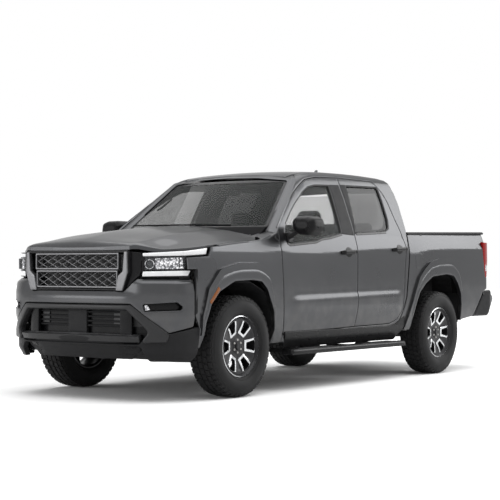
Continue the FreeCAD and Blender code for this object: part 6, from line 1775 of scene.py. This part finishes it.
def pillow(low, high, bulge, seams=(), lean=0.0):
    """Padded block: a subdivided box with crowned faces and pulled-in sides, and sewn channels across."""
    low, high = np.array(low, float), np.array(high, float)
    counts = np.maximum(2, np.round((high - low) / 28).astype(int))
    index, points, faces = {}, [], []

    def vertex(i, j, k):
        key = (i, j, k)
        if key not in index:
            index[key] = len(points)
            points.append([i / counts[0], j / counts[1], k / counts[2]])
        return index[key]

    nx, ny, nz = counts
    for i in range(nx):
        for j in range(ny):
            faces.append((vertex(i, j, 0), vertex(i, j + 1, 0), vertex(i + 1, j + 1, 0), vertex(i + 1, j, 0)))
            faces.append((vertex(i, j, nz), vertex(i + 1, j, nz), vertex(i + 1, j + 1, nz),
                          vertex(i, j + 1, nz)))
    for i in range(nx):
        for k in range(nz):
            faces.append((vertex(i, 0, k), vertex(i + 1, 0, k), vertex(i + 1, 0, k + 1), vertex(i, 0, k + 1)))
            faces.append((vertex(i, ny, k), vertex(i, ny, k + 1), vertex(i + 1, ny, k + 1),
                          vertex(i + 1, ny, k)))
    for j in range(ny):
        for k in range(nz):
            faces.append((vertex(0, j, k), vertex(0, j, k + 1), vertex(0, j + 1, k + 1), vertex(0, j + 1, k)))
            faces.append((vertex(nx, j, k), vertex(nx, j + 1, k), vertex(nx, j + 1, k + 1),
                          vertex(nx, j, k + 1)))
    p = np.array(points) * 2 - 1
    size = (high - low) / 2
    dome = np.sqrt(np.clip(1 - np.abs(p) ** 4, 0, 1))
    out = p * size
    round_by = np.minimum(size, 34) * 0.9
    for a in range(3):
        b, c = (a + 1) % 3, (a + 2) % 3
        corner = np.clip((np.abs(p[:, b]) * size[b] - (size[b] - round_by[b])) / round_by[b], 0, 1)
        other = np.clip((np.abs(p[:, c]) * size[c] - (size[c] - round_by[c])) / round_by[c], 0, 1)
        fall = 1 - np.sqrt(np.clip(1 - (np.maximum(corner, other)) ** 2, 0, 1))
        out[:, a] -= np.sign(p[:, a]) * np.where(np.abs(p[:, a]) > 0.999, fall * round_by[a] * 0.55, 0)
        out[:, a] += np.sign(p[:, a]) * np.where(np.abs(p[:, a]) > 0.999,
                                                 bulge * dome[:, b] * dome[:, c] - bulge * 0.4, 0)
    for axis, place, depth in seams:
        gap = np.abs(out[:, axis] - (place - (low[axis] + high[axis]) / 2))
        for face_axis in range(3):
            if face_axis != axis:
                on = np.abs(p[:, face_axis]) > 0.999
                out[:, face_axis] -= np.sign(p[:, face_axis]) * np.where(on, depth * np.exp(-(gap / 12) ** 2),
                                                                         0)
    out += (low + high) / 2
    out[:, 1] += (out[:, 2] - low[2]) * lean
    return Stock().add(out, faces)


def put_padded(name, stock, replaces=()):
    """A cushion: a padded piece of seat cloth, smoothed by one subdivision."""
    obj = put(name, stock, "truck", "seat_cloth", sharp=180, replaces=replaces)
    smoothing = obj.modifiers.new("Smooth", "SUBSURF")
    smoothing.levels = 1
    smoothing.render_levels = 1


def seat_pieces():
    for way, name in ((1, "driver"), (-1, "passenger")):
        x = way * 370
        cushion = pillow([x - 240, -622, 802], [x + 240, -150, 912], 10,
                         [(0, x - 150, 9), (0, x + 150, 9), (1, -330, 5)])
        put_padded(f"{name}_cushion", cushion, ["front_seats"] if way > 0 else [])
        back = pillow([x - 236, -186, 842], [x + 236, -76, 1322], 12,
                      [(0, x - 146, 9), (0, x + 146, 9), (2, 1180, 6)], 0.22)
        put_padded(f"{name}_backrest", back)
        put_padded(f"{name}_headrest", pillow([x - 122, -38, 1368], [x + 122, 50, 1510], 8))
        for post, letter in ((-48, "a"), (48, "b")):
            stalk = bent([(x + post, 20, 1312), (x + post, 14, 1350), (x + post, 8, 1392)], 7, 10, 4)
            put(f"{name}_headrest_post_{letter}", stalk, "truck", "brake_steel")
        put(f"{name}_seat_base", block([x - 176, -560, 606], [x + 176, -160, 800], 14), "truck", "trim")
    channels = [(0, -220, 8), (0, 220, 8)]
    put_padded("rear_cushion", pillow([-656, 262, 790], [656, 716, 902], 10, channels), ["rear_seat"])
    put_padded("rear_backrest", pillow([-640, 690, 858], [640, 790, 1300], 10, channels, 0.12))
    for x in (-400, 0, 400):
        put_padded(f"rear_headrest_{x + 400}", pillow([x - 112, 838, 1300], [x + 112, 900, 1432], 7))
    put("rear_seat_base", block([-600, 300, 606], [600, 700, 788], 14), "truck", "trim")


def steering_wheel_piece():
    hub = np.array([370.0, -747.0, 1140.0])
    tilt = math.radians(25)
    across = np.array([1, 0, 0])
    turn_axis = np.array([0, math.cos(tilt), math.sin(tilt)])
    up = np.array([0, -math.sin(tilt), math.cos(tilt)])

    def way(angle):
        return math.cos(angle) * across + math.sin(angle) * up

    def pad_face(uv):
        u, v = uv.T
        return hub + np.outer(u, across) + np.outer(v, up) + turn_axis * 18

    ring = [hub + 175 * way(a) for a in np.linspace(0, 2 * math.pi, 64, endpoint=False)]
    wheel = tube(ring, 15, 12, closed=True)
    pad = [(-74, -50, 26), (74, -50, 26), (84, 36, 26), (-84, 36, 26)]
    wheel.join(slab(pad_face, pad, 12, 24, out=-1))
    for angle, wide in ((0.12, 22), (math.pi - 0.12, 22), (-math.pi / 2, 20)):
        spoke = [hub + way(angle) * 60, hub + way(angle) * 110 + turn_axis * 3, hub + way(angle) * 168]
        wheel.join(tube(spoke, [wide * 0.8, wide * 0.7, 11], 10))
    wheel.join(tube([hub + turn_axis * 2, hub - turn_axis * 90], 21, 20))
    put("steering_wheel_dressed", wheel, "steering_wheel", "trim", sharp=45, replaces=["steering_wheel"])


def dashboard_pieces():
    def dash_top(x, y):
        hump = 26 * np.exp(-((x - 370) / 190) ** 2) * ease(-1060, -940, y) * (1 - ease(-890, -858, y))
        return 1250 + 10 * ease(-1200, -1100, y) - 34 * ease(-960, -850, y) + hump

    top = both_sides([(0, -1222), (600, -1200, 30), (722, -1120, 40), (722, -880, 40), (600, -858, 30),
                      (0, -858)])
    put("dashboard_top", inlay(flat_top(0, dash_top), top, 6, 12, 40, grid=24), "truck", "trim")
    screen = [(-120, 1092, 10), (120, 1092, 10), (120, 1236, 10), (-120, 1236, 10)]
    put("dash_screen", slab(flat_front(-836), screen, 4, 26, out=-1, grid=60), "truck", "gloss_black")
    dials = [(220, 1150, 30), (520, 1150, 30), (510, 1236, 40), (230, 1236, 40)]
    put("driver_dials", slab(flat_front(-846), dials, 5, 24, out=-1, grid=60), "truck", "gloss_black")
    view_glass = [(-120, 1618, 18), (120, 1618, 18), (128, 1676, 22), (-128, 1676, 22)]
    put("inner_mirror", slab(flat_front(-700), view_glass, 7, 26, out=-1), "truck", "trim")
    stem = bent([(0, -716, 1660), (0, -724, 1690), (0, -720, 1722)], 9, 10, 3)
    put("inner_mirror_stem", stem, "truck", "trim")
    grab = bent([(-690, -840, 1510), (-664, -820, 1530), (-640, -776, 1570), (-622, -736, 1604),
                 (-632, -716, 1626)], 9, 10, 5)
    put("grab_handle", grab, "truck", "trim")


def inner_side(uv):
    """Inner face of the doors, below the windows."""
    y, z = uv.T
    return np.column_stack([SIDE_LINE(z) - 70, y, z])


def door_trim_pieces():
    front = [(-1096, 500, 40), (-1122, 900), (-1116, 1150, 20), (-1000, 1168, 30), (-260, 1216, 30),
             (-92, 1240, 20), (-92, 900), (-104, 520, 30)]
    rear = [(24, 520, 30), (28, 900), (28, 1240, 20), (540, 1248, 30), (740, 1210, 30), (736, 900, 40),
            (690, 700, 60), (540, 540, 60)]
    for name, outline, (y0, y1, z) in (("front", front, (-800, -240, 940)), ("rear", rear, (110, 560, 950))):
        arm = [(y0, z - 40, 18), (y1, z - 26, 18), (y1, z + 30, 18), (y0, z + 26, 18)]
        pull = [(y0 + 60, z + 120, 14), (y0 + 170, z + 120, 14), (y0 + 170, z + 160, 14),
                (y0 + 60, z + 160, 14)]
        for part, stock, finish in (("trim", inlay(inner_side, outline, 2, 6, 4, out=-1, grid=40), "trim"),
                                    ("armrest", inlay(inner_side, arm, 48, 16, 30, out=-1, grid=20), "trim"),
                                    ("inner_pull", inlay(inner_side, pull, 9, 5, 6, out=-1), "satin_bar")):
            put_both(f"{name}_{{}}_door_{part}", stock, name + "_{}_door", finish)


# Finishes of the frame's own parts

NODE_FINISHES = {
    "paint": ["cab_shell", "roof_panel", "hood", "front_fenders", "bed_sides", "front_bumper", "tailgate",
              "front_left_door", "front_right_door", "rear_left_door", "rear_right_door"],
    "dark_plastic": ["lower_fascia", "wheel_liners", "running_boards", "left_mirror", "right_mirror"],
    "bed_liner": ["bed_tub"],
    "satin_bar": ["grille"],
    "gloss_black": ["headlamps"],
    "chassis": ["core_support", "ladder_frame", "front_suspension", "rear_axle", "fuel_tank"],
    "red_lens": ["tail_lamps"],
    "bumper_metal": ["rear_bumper"],
    "tyre_rubber": ["front_left_tyre", "front_right_tyre", "rear_left_tyre", "rear_right_tyre",
                    "spare_wheel"],
    "rim_dark": ["front_left_rim", "front_right_rim", "rear_left_rim", "rear_right_rim"],
    "cast_metal": ["left_knuckle", "right_knuckle", "steering_rack", "engine"],
    "radiator_metal": ["radiator"],
    "exhaust_metal": ["exhaust"],
    "trim": ["dashboard", "steering_wheel"],
    "seat_cloth": ["front_seats", "rear_seat"],
    "side_glass": ["front_left_window", "front_right_window", "cab_glass"],
    "dark_glass": ["rear_left_window", "rear_right_window"],
}


def finish_nodes():
    """Gives every carried-over CAD node its material."""
    for name, nodes in NODE_FINISHES.items():
        for node in nodes:
            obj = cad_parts[node]
            obj.data.materials.clear()
            obj.data.materials.append(finish_named(name))


# Stage

CAMERA_PLACE = (7.136, -10.224, 0.965)
CAMERA_YAW = -35.95
CAMERA_PITCH = 0.92
CAMERA_ROLL = 0.16
CAMERA_LENS = 98.67
FLOOR_REACH = 60
GLOW_NEAR = 3.5
GLOW_FAR = 9.0
BLACK = (0, 0, 0, 1)
GREY = (0.5, 0.5, 0.5, 1)
WHITE = (1, 1, 1, 1)


def seen_directly(tree):
    """1 for camera, mirror and see-through rays."""
    path = tree.nodes.new("ShaderNodeLightPath")
    sockets = {s.name: Wire(tree, s) for s in path.outputs}
    total = sockets["Is Camera Ray"] + sockets["Is Glossy Ray"] + sockets["Is Transmission Ray"]
    return total > 0.5


def add_world(stage):
    """World that is white where it is seen and dimmer as a light."""
    world = bpy.data.worlds.new("studio")
    bpy.context.scene.world = world
    world.use_nodes = True
    tree = world.node_tree
    level = seen_directly(tree) * (1 - stage.world_level) + stage.world_level
    back = tree.nodes["Background"]
    back.inputs["Color"].default_value = WHITE
    tree.links.new(level.socket, back.inputs["Strength"])


def floor_material(stage):
    """Matt grey floor for the light, which rays that see it find white away from the truck."""
    material = bpy.data.materials.new("pale_floor")
    material.use_nodes = True
    tree = material.node_tree
    shader = tree.nodes["Principled BSDF"]
    for name, value in (("Roughness", 0.9), ("Specular IOR Level", 0.0), ("Emission Strength", 1.0)):
        shader.inputs[name].default_value = value
    seen = seen_directly(tree)
    tone = add_node(tree, "ShaderNodeMix", {"data_type": "RGBA"}, {0: seen, 6: GREY, 7: WHITE}, 2)
    place = add_node(tree, "ShaderNodeTexCoord", output=3)
    distance = add_node(tree, "ShaderNodeVectorMath", {"operation": "LENGTH"}, {0: place}, 1)
    far = add_node(tree, "ShaderNodeMapRange", None,
                   {0: distance, 1: GLOW_NEAR, 2: GLOW_FAR, 3: stage.floor_glow, 4: 1.0})
    glow = add_node(tree, "ShaderNodeMix", {"data_type": "RGBA"}, {0: seen * far, 6: BLACK, 7: WHITE}, 2)
    tree.links.new(tone.socket, shader.inputs["Base Color"])
    tree.links.new(glow.socket, shader.inputs["Emission Color"])
    return material


def add_floor(stage):
    mesh = bpy.data.meshes.new("floor")
    corners = [(-FLOOR_REACH, -FLOOR_REACH, 0), (FLOOR_REACH, -FLOOR_REACH, 0), (FLOOR_REACH, FLOOR_REACH, 0),
               (-FLOOR_REACH, FLOOR_REACH, 0)]
    mesh.from_pydata(corners, [], [(0, 1, 2, 3)])
    floor = bpy.data.objects.new("floor", mesh)
    bpy.context.scene.collection.objects.link(floor)
    mesh.materials.append(floor_material(stage))


def add_lamp(name, place, aim, size, power):
    lamp = bpy.data.lights.new(name, "AREA")
    lamp.shape = "RECTANGLE"
    lamp.size, lamp.size_y = size
    lamp.energy = power
    obj = bpy.data.objects.new(name, lamp)
    obj.location = place
    obj.rotation_euler = (Vector(aim) - Vector(place)).to_track_quat("-Z", "Y").to_euler()
    bpy.context.scene.collection.objects.link(obj)


def add_camera():
    """The photograph's camera, level with the truck and seen from its front left."""
    camera = bpy.data.cameras.new("camera")
    camera.lens = CAMERA_LENS
    camera.sensor_width = 36
    camera.clip_end = 300
    view = bpy.data.objects.new("camera", camera)
    yaw, pitch, roll = (math.radians(a) for a in (CAMERA_YAW, CAMERA_PITCH, CAMERA_ROLL))
    view.matrix_world = (Matrix.Translation(CAMERA_PLACE) @ Matrix.Rotation(-yaw, 4, "Z")
                         @ Matrix.Rotation(math.pi / 2 + pitch, 4, "X") @ Matrix.Rotation(roll, 4, "Z"))
    bpy.context.scene.collection.objects.link(view)
    bpy.context.scene.camera = view


def build_stage(stage):
    add_world(stage)
    add_floor(stage)
    add_lamp("overhead", (0.5, -0.5, 6.5), (0.2, 0, 0), (9, 12), stage.overhead)
    add_lamp("front_key", (-5.4, -10.6, 3.0), (0, -2.2, 0.8), (6.5, 3.6), stage.front_key)
    add_lamp("shoulder_strip", (4.6, 6.2, 4.1), (0.9, -0.5, 1.2), (6.5, 3.2), stage.shoulder_strip)
    add_lamp("side_fill", (9.5, 1.5, 3.0), (0, 0.5, 0.8), (7, 3), stage.side_fill)
    add_camera()
    bpy.context.scene.view_settings.view_transform = "Standard"


# Settings, operators and panel

class TruckColours(bpy.types.PropertyGroup):
    paint: FloatVectorProperty(name="Paint", description="Colour of the body paint", subtype="COLOR", size=3,
                               min=0, max=1,
                               default=(0.060, 0.061, 0.064))
    paint_metal: FloatProperty(name="Paint metal", description="How metallic the body paint is", default=0.88,
                               min=0, max=1)
    plastic: FloatVectorProperty(name="Plastic", description="Colour of the moulded lower parts",
                                 subtype="COLOR", size=3, min=0,
                                 max=1, default=(0.019, 0.019, 0.02))


class TruckSizes(bpy.types.PropertyGroup):
    lattice_bar: FloatProperty(name="Lattice bar", description="Width of a bar in the grille's lattice",
                               default=0.0054,
                               unit="LENGTH", min=0.002, max=0.02)
    tread_pitches: IntProperty(name="Tread pitches", description="Rows of tread blocks round a tyre",
                               default=46, min=20, max=80)
    pad_ridges: IntProperty(name="Pad ridges", description="Ridges of a rear bumper pad", default=7, min=2,
                            max=12)


class TruckStage(bpy.types.PropertyGroup):
    """Light and floor round the truck."""
    world_level: FloatProperty(name="World level", description="Light that comes evenly from all round",
                               default=0.4)
    floor_glow: FloatProperty(name="Floor glow", description="Glow of the floor near the truck", default=0.02)
    overhead: FloatProperty(name="Overhead", description="Power of the wide lamp above", default=800,
                            unit="POWER")
    front_key: FloatProperty(name="Front key", description="Power of the lamp ahead of the nose", default=300,
                             unit="POWER")
    shoulder_strip: FloatProperty(name="Shoulder strip",
                                  description="Power of the lamp that the shoulders mirror", default=340,
                                  unit="POWER")
    side_fill: FloatProperty(name="Side fill", description="Power of the soft light beside the truck",
                             default=30,
                             unit="POWER")


class TRUCK_OT_stage(bpy.types.Operator):
    """Adds the pale floor, the soft lights and the camera"""
    bl_idname = "truck.stage"
    bl_label = "Stage"

    def execute(self, context):
        build_stage(context.scene.truck_stage)
        return {"FINISHED"}


class TRUCK_OT_finish_frame(bpy.types.Operator):
    """Gives the frame's own parts their materials"""
    bl_idname = "truck.finish_frame"
    bl_label = "Frame finishes"

    def execute(self, context):
        finish_nodes()
        return {"FINISHED"}


class TRUCK_OT_panels(bpy.types.Operator):
    """Builds the outer panels of the doors, fenders, hood, roof and bed"""
    bl_idname = "truck.panels"
    bl_label = "Body panels"

    def execute(self, context):
        panel_pieces()
        return {"FINISHED"}


class TRUCK_OT_glass(bpy.types.Operator):
    """Builds the windshield and the windows"""
    bl_idname = "truck.glass"
    bl_label = "Glass"

    def execute(self, context):
        glass_pieces()
        return {"FINISHED"}


class TRUCK_OT_nose(bpy.types.Operator):
    """Builds the bumper, lower fascia, grille and headlamps"""
    bl_idname = "truck.nose"
    bl_label = "Nose"

    def execute(self, context):
        bumper_pieces()
        fascia_pieces()
        grille_pieces()
        headlamp_pieces()
        return {"FINISHED"}


class TRUCK_OT_tail(bpy.types.Operator):
    """Builds the tail lamps, tailgate, bed rails and rear bumper trim"""
    bl_idname = "truck.tail"
    bl_label = "Tail"

    def execute(self, context):
        tail_lamp_pieces()
        bed_trim_pieces()
        tailgate_pieces()
        rear_bumper_pieces()
        return {"FINISHED"}


class TRUCK_OT_wheels(bpy.types.Operator):
    """Builds the wheels and their tyres"""
    bl_idname = "truck.wheels"
    bl_label = "Wheels"

    def execute(self, context):
        wheel_pieces()
        return {"FINISHED"}


class TRUCK_OT_trim(bpy.types.Operator):
    """Builds the mirrors, handles, steps, cowl, wipers and antenna"""
    bl_idname = "truck.trim"
    bl_label = "Side trim"

    def execute(self, context):
        mirror_pieces()
        handle_pieces()
        step_pieces()
        cowl_pieces()
        return {"FINISHED"}


class TRUCK_OT_cabin(bpy.types.Operator):
    """Builds the seats, dashboard, steering wheel and door trim"""
    bl_idname = "truck.cabin"
    bl_label = "Cabin"

    def execute(self, context):
        seat_pieces()
        steering_wheel_piece()
        dashboard_pieces()
        door_trim_pieces()
        return {"FINISHED"}


OPERATORS = (TRUCK_OT_stage, TRUCK_OT_finish_frame, TRUCK_OT_panels, TRUCK_OT_glass, TRUCK_OT_nose,
             TRUCK_OT_tail,
             TRUCK_OT_wheels, TRUCK_OT_trim, TRUCK_OT_cabin)


class TRUCK_PT_parts(bpy.types.Panel):
    bl_idname = "TRUCK_PT_parts"
    bl_label = "Pickup truck"
    bl_space_type = "VIEW_3D"
    bl_region_type = "UI"
    bl_category = "Truck"

    def draw(self, context):
        for group in (context.scene.truck_colours, context.scene.truck_sizes, context.scene.truck_stage):
            for name in group.__annotations__:
                self.layout.prop(group, name)
        for operator in OPERATORS:
            self.layout.operator(operator.bl_idname)


GROUPS = {"truck_colours": TruckColours, "truck_sizes": TruckSizes, "truck_stage": TruckStage}


def register():
    for group in GROUPS.values():
        bpy.utils.register_class(group)
    for name, group in GROUPS.items():
        setattr(bpy.types.Scene, name, PointerProperty(type=group))
    for kind in OPERATORS + (TRUCK_PT_parts,):
        bpy.utils.register_class(kind)


def unregister():
    for kind in (TRUCK_PT_parts,) + OPERATORS[::-1]:
        bpy.utils.unregister_class(kind)
    for name, group in GROUPS.items():
        delattr(bpy.types.Scene, name)
        bpy.utils.unregister_class(group)


def main():
    register()
    for operator in OPERATORS:
        group, name = operator.bl_idname.split(".")
        getattr(getattr(bpy.ops, group), name)()


if __name__ == "__main__":
    main()
